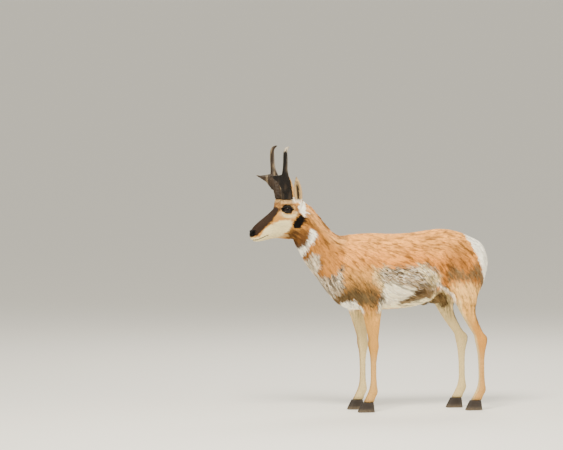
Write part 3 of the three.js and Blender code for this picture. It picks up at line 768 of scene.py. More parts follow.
def finish_of(name, roughness, ior=1.5, sheen=0.0, shine=0.5):
    """A material, its tree and shader, and object coordinates in millimetres; shine scales the reflection."""
    material = bpy.data.materials.new(name)
    material.use_nodes = True
    tree = material.node_tree
    tree.nodes.clear()
    shader = node(tree, "ShaderNodeBsdfPrincipled", Roughness=roughness, IOR=ior, Sheen_Weight=sheen)
    shader.inputs["Specular IOR Level"].default_value = shine
    out = node(tree, "ShaderNodeOutputMaterial")
    tree.links.new(shader.outputs[0], out.inputs["Surface"])
    place = node(tree, "ShaderNodeTexCoord").outputs["Object"]
    return material, tree, shader, scaled(tree, place, 1 / MM)


def rgba(code):
    """An sRGB hex colour as a linear one with full alpha."""
    return (*[float(v) for v in linear(code)], 1.0)


def stored_tint(tree):
    """The colour that is stored at each point of the mesh."""
    return node(tree, "ShaderNodeAttribute", {"attribute_name": TINT_NAME}).outputs["Color"]


def scaled(tree, vector, amount):
    """A vector or a colour times a number."""
    return node(tree, "ShaderNodeVectorMath", {"operation": "SCALE"}, i0=vector, Scale=amount).outputs[0]


def stretched(tree, vector, scales):
    """A vector times another, axis by axis."""
    return node(tree, "ShaderNodeVectorMath", {"operation": "MULTIPLY"}, i0=vector, i1=scales).outputs[0]


def times(tree, value, amount):
    """A number times a number."""
    return node(tree, "ShaderNodeMath", {"operation": "MULTIPLY"}, i0=value, i1=amount).outputs[0]


def noise(tree, place, detail, scale=1.0, roughness=0.5):
    """Cloudy noise about 0.5; scale is in cells per unit of the place."""
    made = node(tree, "ShaderNodeTexNoise", Vector=place, Scale=scale, Detail=detail, Roughness=roughness)
    return made.outputs[0]


def ranged(tree, value, low, high, start=0.3, end=0.7):
    """The value's run from start to end, laid over low to high; a noise keeps mostly within 0.3 to 0.7."""
    run = {"From_Min": start, "From_Max": end, "To_Min": low, "To_Max": high}
    return node(tree, "ShaderNodeMapRange", Value=value, **run).outputs[0]


def blended(tree, share, first, second):
    """The first colour where share is 0 and the second where it is 1."""
    return node(tree, "ShaderNodeMix", {"data_type": "RGBA"}, Factor=share, i6=first, i7=second).outputs[2]


def bumped(tree, height, strength, depth):
    """A bump of this depth in millimetres."""
    return node(tree, "ShaderNodeBump", Strength=strength, Distance=depth * MM, Height=height).outputs[0]


def feed(tree, shader, sources):
    """Links each source to the shader's input of that name."""
    for name, source in sources.items():
        tree.links.new(source, shader.inputs[name])


# %% Hair
def hair(name, strand, wander, depth):
    """Hair: strand is a streak's width and wander its length, in millimetres; depth is the bump's."""
    material, tree, shader, mm = finish_of(name, roughness=0.72, ior=1.55, sheen=0.03, shine=0.08)
    drawn_out = stretched(tree, mm, (1 / wander, 1 / strand, 1 / strand))
    strands = noise(tree, drawn_out, detail=3.0, roughness=0.6)
    tone = scaled(tree, stored_tint(tree), ranged(tree, strands, 0.86, 1.12))
    feed(tree, shader, {"Base Color": tone, "Normal": bumped(tree, strands, 0.25, depth)})
    return material


coat_hair = hair("Coat hair, coarse hollow guard hair", strand=2.2, wander=9.0, depth=0.8)
face_hair = hair("Face and leg hair, short and flat", strand=1.2, wander=3.5, depth=0.35)
print("materials:", coat_hair.name, "/", face_hair.name)

# %% Horn, hoof, bare skin and eye
def horn_finish():
    """Horn sheath: keratin grown from fused hairs, furrowed along its length, with an uneven gloss."""
    name = "Horn sheath, keratin of fused hair"
    material, tree, shader, mm = finish_of(name, roughness=0.5, ior=1.54, shine=0.18)
    furrow = noise(tree, stretched(tree, mm, (0.6, 0.6, 0.07)), detail=4.0, roughness=0.65)
    tone = scaled(tree, stored_tint(tree), ranged(tree, furrow, 0.7, 1.25))
    rough = ranged(tree, furrow, 0.42, 0.62)
    feed(tree, shader, {"Base Color": tone, "Roughness": rough, "Normal": bumped(tree, furrow, 0.6, 0.6)})
    return material


def hoof_finish():
    """Hoof: black-grey keratin with growth rings a few millimetres apart and dusty scuffs near the ground."""
    material, tree, shader, mm = finish_of("Hoof wall, keratin", roughness=0.45, ior=1.54, shine=0.3)
    rings = noise(tree, stretched(tree, mm, (0.02, 0.02, 0.35)), detail=2.0)
    wall = blended(tree, rings, rgba("#1B1613"), rgba("#3B322B"))
    level = node(tree, "ShaderNodeSeparateXYZ", Vector=mm).outputs["Z"]
    near_ground = ranged(tree, level, 0.0, 0.8, start=22.0, end=0.0)
    dust = times(tree, near_ground, noise(tree, mm, detail=4.0, scale=0.12))
    tone = blended(tree, dust, wall, rgba("#8C7B66"))
    feed(tree, shader, {"Base Color": tone, "Normal": bumped(tree, rings, 0.5, 0.5)})
    return material


def bare_skin_finish():
    """Bare skin of the lids: black, finely creased and moist, so it has a soft gloss."""
    material, tree, shader, mm = finish_of("Lid skin, bare and moist", roughness=0.38, ior=1.4)
    crease = node(tree, "ShaderNodeTexVoronoi", {"feature": "DISTANCE_TO_EDGE"}, Vector=mm, Scale=1.1)
    shader.inputs["Base Color"].default_value = rgba("#17110F")
    feed(tree, shader, {"Normal": bumped(tree, crease.outputs["Distance"], 0.35, 0.25)})
    return material


def eye_finish():
    """Eye: a wet cornea over a near black iris with a long pupil; the tint is stored at each point."""
    name = "Eye, wet cornea over a dark iris"
    material, tree, shader, mm = finish_of(name, roughness=0.1, ior=1.376, shine=0.3)
    fibres = noise(tree, mm, detail=3.0, scale=0.8)
    feed(tree, shader, {"Base Color": scaled(tree, stored_tint(tree), ranged(tree, fibres, 0.7, 1.3))})
    return material


horn_sheath, hoof_wall, lid_skin, eye_ball = horn_finish(), hoof_finish(), bare_skin_finish(), eye_finish()

# %% [markdown]
# ## The skin
# The real animal has one unbroken skin, and so has the model. The solids of the flesh are melted into one
# closed surface of even squares. Balls fill the eye sockets, the nostrils and the ears' roots first, so that
# the face can be shaped again more finely. The head gets smaller squares than the body, because it holds
# the finest forms.

# %% Melt the flesh into one surface
FLESH = ["head", "neck", "torso", "tail"]
LENGTHS = ("foreleg", "forecannon", "hindleg", "hindcannon")
FLESH += [f"{length}_{name}" for length in LENGTHS for name in SIDE_NAMES.values()]
SQUARE, SWELL = 4.8 * MM, 0.4 * MM
EYE = np.array([-604.0, 40.0, 1012.0])
EYE_RADIUS = 25.0
NOSTRIL = np.array([-771.0, 19.0, 902.0])
EAR_ROOT = np.array([-541.0, 42.0, 1040.0])
PLUG_SIZES = ((EYE, 22.0), (NOSTRIL, 9.0), (EAR_ROOT, 16.0))


def mirrored(place, side):
    """Places given for the right side, on the side that is asked for."""
    return place * np.array([1, side, 1])


plugs = []
for side in (LEFT, RIGHT):
    for place, size in PLUG_SIZES:
        plugs.append((to_real(mirrored(place, side)[None])[0], (size * MM,) * 3))
skin_mesh = melted("skin", FLESH, SQUARE, swell=SWELL, plugs=plugs)
put_points(skin_mesh, relaxed(points_of(skin_mesh), edges_of(skin_mesh), 5))
print("skin:", len(skin_mesh.vertices), "points")

# %% Smaller squares on the head, and smaller again round the eyes and the muzzle
def finer(mesh, wanted):
    """Splits the faces whose middle is wanted into four."""
    bm = bmesh.new()
    bm.from_mesh(mesh)
    bm.faces.ensure_lookup_table()
    middles = to_straight(np.array([face.calc_center_median() for face in bm.faces]))
    chosen = wanted(middles)
    edges = {edge for face, yes in zip(bm.faces, chosen) if yes for edge in face.edges}
    bmesh.ops.subdivide_edges(bm, edges=list(edges), cuts=1, use_grid_fill=True)
    bm.to_mesh(mesh)
    bm.free()


def near_eye(places, reach):
    """Places on the outside of the head within reach of an eye."""
    q = np.stack([places[:, 0], np.abs(places[:, 1]), places[:, 2]], 1) - EYE
    return (np.linalg.norm(q, axis=1) < reach) & (q[:, 1] > -4)


finer(skin_mesh, lambda s: region_line(s[:, 0], s[:, 2], *HEAD_LINE) > -8)
finer(skin_mesh, lambda s: near_eye(s, 42) | ((s[:, 0] < -722) & (s[:, 2] > 850)))
skin_points, skin_edges = points_of(skin_mesh), edges_of(skin_mesh)
straight = to_straight(skin_points)
on_head = smooth(-10, 6, region_line(straight[:, 0], straight[:, 2], *HEAD_LINE))[:, None]
skin_points = relaxed(skin_points, skin_edges, 2, on_head)
print("skin after splitting:", len(skin_points), "points")

# %% [markdown]
# ## Shaping the face
# Each form of the face is a rule about distance, worked on the straight pose: the lids lie on the ball of
# the eye, the nostril is a hollow that curls like a comma, and the mouth is a furrow along a line with
# a lip on each side. Moving points by rules keeps both sides of the face equal.

# %% Forms of the head
OPENING_FRONT, OPENING_BACK = 25.0, 22.5
OPENING_TOP, OPENING_LOW = 14.0, 11.5
OPENING_TILT = -0.12


def eye_frame(places):
    """Along, up and outward from the eye's middle, in millimetres; the last is 1 on the opening's edge."""
    x, y, z = places[:, 0] - EYE[0], np.abs(places[:, 1]) - EYE[1], places[:, 2] - EYE[2]
    c, s = math.cos(OPENING_TILT), math.sin(OPENING_TILT)
    along, rise = x * c + z * s, -x * s + z * c
    half = np.where(along < 0, OPENING_FRONT, OPENING_BACK)
    tall = np.where(rise > 0, OPENING_TOP, OPENING_LOW)
    out = np.sqrt((np.abs(along) / half) ** 1.7 + (np.abs(rise) / tall) ** 2)
    return along, rise, y, out


def shape_eyes(s):
    """Lids that lie on the ball, a fold above them and a tear groove in front."""
    along, rise, out_y, out = eye_frame(s)
    near = (out < 2.6) & (out_y > -2) & (np.hypot(along, rise) < 48)
    flat = along ** 2 + rise ** 2
    lid = np.sqrt(np.maximum((EYE_RADIUS + 2.6) ** 2 - flat, 9.0 ** 2))
    sunk = np.sqrt(np.maximum((EYE_RADIUS - 5.0) ** 2 - flat, 1.0))
    goal = np.where(out < 0.97, np.minimum(sunk, lid - 4), lid)
    mix = smooth(1.85, 1.15, out)
    fold = 1.8 * np.exp(-((out - 1.75) / 0.16) ** 2) * smooth(0, 8, rise)
    brow = 3.0 * np.exp(-((out - 2.15) / 0.3) ** 2) * smooth(0, 10, rise)
    tear = 2.2 * np.exp(-((rise + 0.35 * (along + 24)) / 2.6) ** 2)
    tear *= smooth(-22, -27, along) * smooth(-48, -36, along)
    moved = out_y * (1 - mix) + goal * mix - fold + brow - tear
    s[:, 1] = np.where(near, np.sign(s[:, 1]) * (EYE[1] + moved), s[:, 1])


def shape_muzzle(s, n):
    """Nostrils, the furrow of the mouth, and lips."""
    x, y, z = s[:, 0], np.abs(s[:, 1]), s[:, 2]
    muzzle = x < -690
    off, share, sign = to_line(MOUTH_LINE, x, z)
    furrow = 4.2 * np.exp(-((off / 1.9) ** 2)) * smooth(1.0, 0.93, share)
    lip = 1.5 * np.exp(-(((off - 5.5) / 3.2) ** 2)) * smooth(1.0, 0.8, share) * np.where(sign > 0, 1.0, 0.8)
    from_x, from_z = x - NOSTRIL[0], z - NOSTRIL[2]
    u, v = from_x * 0.86 + from_z * 0.5, -from_x * 0.5 + from_z * 0.86
    bend = v + 0.035 * u * u - 1.0
    hole = np.exp(-((u / 9.5) ** 4) - ((bend / 3.4) ** 2)) * smooth(6, 10, y) * smooth(30, 26, y)
    wing = np.exp(-((u / 11.0) ** 4) - (((bend - 7.0) / 3.4) ** 2)) * smooth(8, 12, y)
    groove = 2.0 * np.exp(-((y / 1.6) ** 2)) * smooth(-772, -782, x)
    groove *= smooth(868, 874, z) * smooth(900, 892, z)
    push = np.where(muzzle, lip - furrow - 11.0 * hole + 2.2 * wing - groove, 0.0)
    s += n * push[:, None]


triangles = triangles_of(skin_mesh)
straight = to_straight(skin_points)
angle = turn_at(straight[:, 0], straight[:, 2])
normals = turned(normals_of(skin_points, triangles), -angle)
shape_muzzle(straight, normals)
shape_eyes(straight)
print("face shaped")

# %% [markdown]
# ## Forms of the body
# Under a short coat the big forms show: the fold in front of the thigh, the furrow behind the shoulder,
# the line of the elbow, and the sinews above the heel. The locks of the mane are separate pieces, so here
# the nape is laid flat to its own line.

# %% Forms of the body
NAPE = [(-304, 877), (-328, 880), (-349, 892), (-374, 916), (-403, 951), (-435, 988),
        (-468, 1023), (-500, 1052)]
CREASES = [
    ("behind the shoulder", [(-182, 800), (-150, 730), (-128, 670), (-118, 640), (-106, 610)], 13.0, 3.5),
    ("top of the bare panel", PANEL_EDGE, 8.0, 4.5),
    ("in front of the thigh", [(164, 633), (198, 630), (220, 609), (249, 586), (274, 540)], 9.0, 11.0),
    ("shoulder blade's front", [(-330, 830), (-322, 760), (-330, 690), (-318, 640)], 16.0, 3.0),
    ("above the heel", [(372, 470), (384, 410), (392, 365)], 7.0, 3.0),
    ("chest to foreleg", [(-312, 566), (-262, 574), (-224, 540), (-212, 512)], 7.0, 3.5),
]
RIDGES = [
    ("flank fold", [(140, 700), (172, 655), (196, 640), (214, 622)], 9.0, 5.0),
    ("edge of the thigh", [(230, 655), (262, 610), (288, 560), (300, 500)], 15.0, 5.0),
    ("elbow", [(-150, 590), (-128, 560)], 13.0, 3.0),
    ("shoulder's rear edge", [(-205, 790), (-178, 720), (-160, 660), (-150, 610)], 18.0, 3.0),
    ("forearm muscle", [(-196, 520), (-186, 440), (-178, 380)], 14.0, 2.0),
]


def shape_body(s, n):
    """Creases in, ridges out, and the nape flat to its line; all where the skin faces sideways."""
    outward = smooth(0.15, 0.6, n[:, 1] * np.sign(s[:, 1]))
    push = np.zeros(len(s))
    for forms, way in ((CREASES, -1), (RIDGES, 1)):
        for _, line, width, deep in forms:
            off, share, _ = to_line(line, s[:, 0], s[:, 2])
            ends = smooth(0, 0.15, share) * smooth(1, 0.85, share)
            push += way * deep * np.exp(-((off / width) ** 2)) * ends * outward
    s += n * push[:, None]
    off, share, sign = to_line(NAPE, s[:, 0], s[:, 2])
    y = np.abs(s[:, 1])
    over = -sign * off + (32 - np.sqrt(np.maximum(32 ** 2 - np.minimum(y, 31) ** 2, 0)))
    near = (y < 30) & (over > 0) & (over < 30) & (share > 0) & (share < 1)
    steep = np.array([0.72, 0.0, 0.70])
    s -= np.where(near, over * 0.9, 0)[:, None] * steep


shape_body(straight, normals)
skin_points = to_real(straight)
skin_points = relaxed(skin_points, skin_edges, 2, 1 - on_head)
straight = to_straight(skin_points)
print("body shaped")

# %% [markdown]
# ## Room for the coat
# The hair has its own depth, so the skin goes in by that much: four millimetres on the body, much less on
# the face and the legs, and nothing at the lids, the nose and the hooves, where hair ends.

# %% Take the skin in by the depth of the coat
def coat_depth(s):
    """How deep the coat is at each place, in millimetres."""
    x, z = s[:, 0], s[:, 2]
    head = smooth(-30, 10, region_line(x, z, *HEAD_LINE))
    leg = smooth(530, 430, z)
    depth = 4.2 * (1 - head) * (1 - leg) + 1.2 * head + 1.3 * leg * (1 - head)
    *_, out = eye_frame(s)
    bare = np.maximum(near_eye(s, 60) * smooth(2.2, 1.3, out), smooth(-745, -770, x) * (z > 850))
    return depth * (1 - bare) * smooth(50, 62, z)


real_normals = normals_of(skin_points, triangles)
skin_points = skin_points - real_normals * (coat_depth(straight) * MM)[:, None]
put_points(skin_mesh, skin_points)
straight = to_straight(skin_points)
skin_normals = normals_of(skin_points, triangles)
angle = turn_at(straight[:, 0], straight[:, 2])
straight_normals = turned(skin_normals, -angle)


def paint(mesh, colours):
    """Stores one linear colour for each point of the mesh."""
    layer = mesh.color_attributes.new(TINT_NAME, "FLOAT_COLOR", "POINT")
    with_alpha = np.hstack([colours, np.ones((len(colours), 1))])
    layer.data.foreach_set("color", with_alpha.astype(np.float32).ravel())


# The skin shows only in the gaps between tufts, so its colour is painted darker, as painted shade under the
# coat.
UNDERCOAT_OWN, UNDERCOAT_PAINTED_SHADE = 0.45, 0.86
undercoat = coat_colour(straight, straight_normals, np.full(len(straight), UNDERCOAT_OWN))
paint(skin_mesh, undercoat * UNDERCOAT_PAINTED_SHADE)
skin = placed("skin", skin_mesh)
skin.data.materials.append(coat_hair)
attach(skin, "root")
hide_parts(*FLESH)
print("skin:", len(triangles), "triangles")

# %% [markdown]
# ## The lie of the hair on the body
# The arrows gave the lie on the side view; here it is laid onto the surface, turned with the head, and
# waved a little, because no two tufts lie quite alike.

# %% Lay the hair's direction onto the surface
def lie_at(s, real_normal):
    """Unit directions of the hair on the real pose, at places given in the straight one."""
    flat = side_lie(s)
    wave = (speckle(s, 45, 8) - 0.5) * 0.5
    way = np.stack([flat[:, 0], wave * 0.3, flat[:, 1] + wave * 0.25], 1)
    way = turned(way, turn_at(s[:, 0], s[:, 2]))
    way -= real_normal * np.sum(way * real_normal, 1, keepdims=True)
    return way / np.maximum(np.linalg.norm(way, axis=1, keepdims=True), 1e-9)


# %% [markdown]
# ## The coat
# A coat could be millions of single hairs, but hair clumps, and a viewer sees the clumps. So each
# tuft is one small closed wedge: it is widest near its root, follows the body, and its tip lifts a little.
# Arrays build them all at once; Geometry Nodes could scatter them, but here each tuft has to bend
# with the surface under it and carry its own place on the unwrapped skin. Ten triangles make one tuft.

# %% Where tufts stand, and how they lie
skin_tree = BVHTree.FromPolygons(skin_points.tolist(), triangles.tolist())
face_edges = skin_points[triangles[:, 1:]] - skin_points[triangles[:, :1]]
face_size = np.linalg.norm(np.cross(face_edges[:, 0], face_edges[:, 1]), axis=1) / 2
TUFT_FACES = np.array([
    (0, 3, 5), (0, 5, 2), (1, 2, 5), (1, 5, 4), (0, 1, 4),
    (0, 4, 3), (3, 6, 5), (5, 6, 4), (3, 4, 6), (0, 2, 1),
])
# Each tuft's colour from root to tip: painted shade at the root, where neighbouring tufts cover it, and
# painted light towards the tip.
TUFT_SHADE_ALONG = np.array([0.86, 0.86, 0.95, 0.97, 0.97, 1.03, 1.07])
TUFT_DEPTH, ROOT_WIDTH, MIDDLE_LIFT = 0.28, 0.8, 0.45
ROOT_SINK = 0.6 * MM
SOFTNESS = 0.55
PATCH = 0.003
TUFT_SPREAD = np.array([(-0.5, -0.4), (-0.5, 0.4), (-0.5, 0), (0, -0.5), (0, 0.5), (0, 0), (0.5, 0)]) * PATCH


def hugging(points):
    """The nearest place on the skin to each point, with its normal."""
    places, ways = np.empty_like(points), np.empty_like(points)
    for i, point in enumerate(points):
        place, way, _, _ = skin_tree.find_nearest(point)
        places[i], ways[i] = place, way
    return places, ways


def scatter(weight, count):
    """Random places on the skin: where they are, their normal, and their place in the straight pose."""
    chosen = dice.choice(len(triangles), count, p=weight / weight.sum())
    a, b = dice.random(count), dice.random(count)
    flip = a + b > 1
    a, b = np.where(flip, 1 - a, a), np.where(flip, 1 - b, b)
    share = np.stack([1 - a - b, a, b], 1)[:, :, None]
    places = (skin_points[triangles[chosen]] * share).sum(1)
    ways = (skin_normals[triangles[chosen]] * share).sum(1)
    ways /= np.linalg.norm(ways, axis=1, keepdims=True)
    return places, ways, to_straight(places)


def unwrap(s, start, end, tile):
    """Places on a strip of the unwrapped skin: along a line and round it, inside a tile u0, u1, v0, v1."""
    start, end = np.array(start, float), np.array(end, float)
    run = end - start
    along = ((s[:, 0] - start[0]) * run[0] + (s[:, 2] - start[2]) * run[2]) / (run[0] ** 2 + run[2] ** 2)
    cx, cz = start[0] + along * run[0], start[2] + along * run[2]
    size = math.hypot(run[0], run[2])
    rise = (s[:, 2] - cz) * run[0] / size - (s[:, 0] - cx) * run[2] / size
    round_ = np.arctan2(s[:, 1] - start[1], rise) / (2 * math.pi) + 0.5
    u0, u1, v0, v1 = tile
    return np.stack([u0 + (u1 - u0) * np.clip(along, 0, 1), v0 + (v1 - v0) * round_], 1)


def store_unwrap(mesh, per_point, faces):
    """Stores the place on the unwrapped skin for every corner of every face."""
    layer = mesh.uv_layers.new(name="OFBake")
    per_corner = np.clip(per_point, 0, 1)[faces.ravel()]
    layer.data.foreach_set("uv", per_corner.astype(np.float32).ravel())


def wedges(roots, ways, lie, length, width, lift):
    """The seven corners of each tuft, and the skin's normal under each corner; all in metres."""
    half = (width / 2)[:, None] * np.cross(ways, lie)
    deep = width * TUFT_DEPTH
    middle, middle_way = hugging(roots + lie * (length * 0.5)[:, None])
    tip, tip_way = hugging(roots + lie * length[:, None])
    base = roots - ways * ROOT_SINK
    raised = middle + middle_way * (lift * MIDDLE_LIFT)[:, None]
    corners = [base - half * ROOT_WIDTH, base + half * ROOT_WIDTH, base + ways * (deep + ROOT_SINK)[:, None]]
    corners += [raised - half, raised + half, raised + middle_way * deep[:, None]]
    corners.append(tip + tip_way * lift[:, None])
    skin_ways = [ways] * 3 + [middle_way] * 3 + [tip_way]
    return np.stack(corners, 1).reshape(-1, 3), np.stack(skin_ways, 1).reshape(-1, 3)


def softened(mesh, skin_ways):
    """The mesh's normals, turned part of the way to those of the skin, so that the coat looks soft."""
    own_ways = np.empty(len(mesh.vertices) * 3)
    mesh.vertex_normals.foreach_get("vector", own_ways)
    soft = own_ways.reshape(-1, 3) * (1 - SOFTNESS) + skin_ways * SOFTNESS
    return soft / np.maximum(np.linalg.norm(soft, axis=1, keepdims=True), 1e-9)


def tufts(name, roots, ways, s, own, length, width, lift, flat, material):
    """One piece of coat: a wedge at each root; length, width and lift are in millimetres."""
    count = len(roots)
    lie = lie_at(s, ways)
    lie = lie + np.cross(ways, lie) * dice.normal(0, 0.10, count)[:, None]
    lie /= np.linalg.norm(lie, axis=1, keepdims=True)
    corners, skin_ways = wedges(roots, ways, lie, length * MM, width * MM, lift * MM)
    faces = (TUFT_FACES[None] + 7 * np.arange(count)[:, None, None]).reshape(-1, 3)
    mesh = mesh_from(name, corners, faces)
    tone = coat_colour(s, turned(ways, -turn_at(s[:, 0], s[:, 2])), own)
    # Each tuft is painted darker at the root and lighter at the tip, as shade and light along it.
    paint(mesh, (tone[:, None] * TUFT_SHADE_ALONG[None, :, None]).reshape(-1, 3))
    store_unwrap(mesh, (flat[:, None] + TUFT_SPREAD[None]).reshape(-1, 2), faces)
    soft = softened(mesh, skin_ways)
    piece = placed(name, mesh)
    mesh.normals_split_custom_set_from_vertices(soft.tolist())
    piece.data.materials.append(material)
    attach(piece, "root")
    print(name, count, "tufts,", len(faces), "triangles")


# %% Regions of the coat
middles = to_straight(skin_points[triangles].mean(1))
mx, my, mz = middles.T
face_head = region_line(mx, mz, *HEAD_LINE) > 0
face_neck = ~face_head & (region_line(mx, mz, *NECK_LINE) > 0)
face_leg = ~face_head & ~face_neck & np.where(mx < 60, mz < 498, mz < 560) & ((mx < -100) | (mx > 170))
face_trunk = ~face_head & ~face_neck & ~face_leg
*_, lid_out = eye_frame(middles)
bald = (near_eye(middles, 50) & (lid_out < 1.25)) | ((mx < -768) & (mz > 880) & face_head) | (mz < 52)
bald |= (mz > 1061) & (mx < -560)
GUARD_DARK_SHARE, GUARD_DARK_OWN, GUARD_OWN = 0.3, 0.95, 0.86
GUARD_LONGER, GUARD_NARROWER, GUARD_RISE = 1.3, 0.62, 1.3


def hair_length(s):
    """The length of the tufts at each place, in millimetres."""
    x, z = s[:, 0], s[:, 2]
    length = np.full(len(x), 32.0)
    length += 10 * smooth(330, 400, x) * smooth(600, 700, z)
    length += 6 * smooth(600, 540, z) * smooth(-110, -60, x)
    length += 8 * smooth(-330, -380, x) * smooth(760, 700, z)
    length -= 5 * smooth(-90, -50, x) * smooth(680, 640, z) * smooth(60, 10, x)
    length -= 12 * smooth(560, 500, z)
    return length


def body_coat(name, chosen, count, tile, guard=False):
    """A piece of the trunk's or the neck's coat; guard hairs lie on top, longer, narrower and often dark."""
    weight = face_size * chosen * ~bald
    roots, ways, s = scatter(weight, count)
    own = dice.random(count)
    length = hair_length(s) * dice.uniform(0.75, 1.2, count)
    width = length * 0.2 * dice.uniform(0.8, 1.2, count)
    if guard:
        own = np.where(dice.random(count) < GUARD_DARK_SHARE, GUARD_DARK_OWN, own * GUARD_OWN)
        length, width = length * GUARD_LONGER, width * GUARD_NARROWER
    lift = 1.8 + 1.0 * dice.random(count) + 3.0 * (clumps(s, STRAND_WIDTH, STRAND_SEED) - 0.4)
    lift = np.maximum(lift + 2.0 * smooth(340, 400, s[:, 0]), 0.8) + (GUARD_RISE if guard else 0.0)
    tufts(name, roots, ways, s, own, length, width, lift, unwrap(s, *tile), coat_hair)


WHOLE_TILE = (0.02, 0.98, 0.02, 0.98)
TRUNK_UNWRAP = ((-420, 0, 720), (470, 0, 720), WHOLE_TILE)
NECK_UNWRAP = ((-300, 0, 700), (-560, 0, 1000), WHOLE_TILE)
body_coat("coat_trunk_left", face_trunk & (my < 0), 19500, TRUNK_UNWRAP)
body_coat("coat_trunk_right", face_trunk & (my >= 0), 19500, TRUNK_UNWRAP)
body_coat("coat_neck", face_neck, 15000, NECK_UNWRAP)
body_coat("coat_guard_trunk_left", face_trunk & (my < 0), 4200, TRUNK_UNWRAP, guard=True)
body_coat("coat_guard_trunk_right", face_trunk & (my >= 0), 4200, TRUNK_UNWRAP, guard=True)
body_coat("coat_guard_neck", face_neck, 2600, NECK_UNWRAP, guard=True)

# %% [markdown]
# ## Short hair on the face and the legs
# Here the hair is a few millimetres long and lies flat. Its tufts are the smallest on the animal and hardly
# lift; closer to the nose and the lids they shrink again.

# %% Face and legs
def short_coat(name, chosen, count, tile_of, long_):
    """A piece of short coat; long_ gives the tufts' length, and where they are short they stand closer."""
    weight = face_size * chosen * ~bald / long_(middles) ** 1.3
    roots, ways, s = scatter(weight, count)
    own = dice.random(count)
    length = long_(s) * dice.uniform(0.75, 1.2, count)
    width = length * 0.22 * dice.uniform(0.8, 1.2, count)
    lift = length * 0.09 * dice.uniform(0.5, 1.3, count)
    tufts(name, roots, ways, s, own, length, width, lift, tile_of(s), face_hair)


def face_length(s):
    """The length of the face's hair, in millimetres."""
    x, z = s[:, 0], s[:, 2]
    *_, out = eye_frame(s)
    length = 7.0 + 9 * smooth(-620, -520, x)
    length = length - 2.5 * smooth(-690, -740, x)
    return np.where(near_eye(s, 45), np.minimum(length, 3.5 + 2.5 * np.clip(out - 1.2, 0, 2)), length)


def leg_length(s):
    """The length of the legs' hair, in millimetres."""
    return 9.0 + 9.0 * smooth(380, 540, s[:, 2])


def face_tile(s):
    """The head on the whole of the unwrap, from the neck to the nose."""
    return unwrap(s, (-480, 0, 1000), (-800, 0, 880), WHOLE_TILE)


def leg_tile(s):
    """Fore legs on the left half of the unwrap, hind legs on the right."""
    fore = unwrap(s, (-180, 0, 560), (-179, 0, 0), (0.02, 0.48, 0.02, 0.98))
    hind = unwrap(s, (340, 0, 620), (341, 0, 0), (0.52, 0.98, 0.02, 0.98))
    return np.where((s[:, 0] < 60)[:, None], fore, hind)


short_coat("coat_head", face_head, 19500, face_tile, face_length)
short_coat("coat_legs_left", face_leg & (my < 0), 16000, leg_tile, leg_length)
short_coat("coat_legs_right", face_leg & (my >= 0), 16000, leg_tile, leg_length)

# %% [markdown]
# ## The mane
# Along the nape a buck has a low mane of longer, stiffer hair that stands a little and leans back. Each lock
# is a blade of four stations with three corners each, which tapers to a point and bends over. The locks are
# scattered about the line of the nape, most of them close to it.

# %% Mane
MANE_LINE = np.array(NAPE[:0:-1] + [(-290, 875)], float)
LOCKS, LOCK_STATIONS = 520, 4
LOCK_TAPER = (1.0, 0.95, 0.6)
LOCK_SPREAD = np.array([
    (-0.5, -0.4), (-0.5, 0.4), (-0.5, 0), (-0.2, -0.4), (-0.2, 0.4), (-0.2, 0),
    (0.1, -0.3), (0.1, 0.3), (0.1, 0), (0.5, 0),
]) * PATCH
LOCK_FACING = (0.3, 0.0, 0.95)


def along_nape(share):
    """Places along the mane's line, with the ways along it and up from it, all as x and z."""
    steps = np.concatenate([[0], np.cumsum(np.hypot(*np.diff(MANE_LINE, axis=0).T))])
    place = np.stack([np.interp(share * steps[-1], steps, values) for values in MANE_LINE.T], 1)
    ahead = np.stack([np.gradient(place[:, 0]), np.gradient(place[:, 1])], 1) + 1e-9
    even = [np.convolve(values, np.ones(41) / 41, "same")[::40] for values in ahead.T]
    ahead = np.stack([np.interp(share, share[::40], values) for values in even], 1)
    ahead /= np.linalg.norm(ahead, axis=1, keepdims=True)
    up = np.stack([-ahead[:, 1], ahead[:, 0]], 1)
    up *= np.sign(up[:, 1:])
    return place, ahead, up


def lock_stations(share, side, place, ahead, up):
    """Each lock's middle line from root to tip, in the straight pose; side is how far off the nape it is."""
    length = dice.uniform(26, 42, LOCKS) * smooth(0, 0.12, share) ** 0.5
    length = length * (1 - 0.35 * smooth(0.75, 1.0, share))
    rise = dice.uniform(0.06, 0.24, LOCKS)
    stations = np.empty((LOCKS, LOCK_STATIONS, 3))
    for k, t in enumerate(np.linspace(0, 1, LOCK_STATIONS)):
        high = -6 + length * rise * np.sin(t * 2.3) * 1.15 - (side / 9.0) ** 2 * 1.2
        stations[:, k, 0::2] = place + ahead * (length * t)[:, None] + up * high[:, None]
        stations[:, k, 1] = side * (1 + 0.9 * t)
    return stations


def lock_corners(stations, up):
    """Three corners at each station but the last, which is the tip."""
    wide = dice.uniform(2.6, 4.2, LOCKS)
    corners = np.empty((LOCKS, 3 * (LOCK_STATIONS - 1) + 1, 3))
    over = np.stack([up[:, 0], np.zeros(LOCKS), up[:, 1]], 1)
    for k, taper in enumerate(LOCK_TAPER):
        half = wide * taper
        beside = np.stack([0 * half, half, 0 * half], 1)
        corners[:, 3 * k] = stations[:, k] - beside
        corners[:, 3 * k + 1] = stations[:, k] + beside
        corners[:, 3 * k + 2] = stations[:, k] + over * (half * 0.6)[:, None]
    corners[:, -1] = stations[:, -1]
    return corners


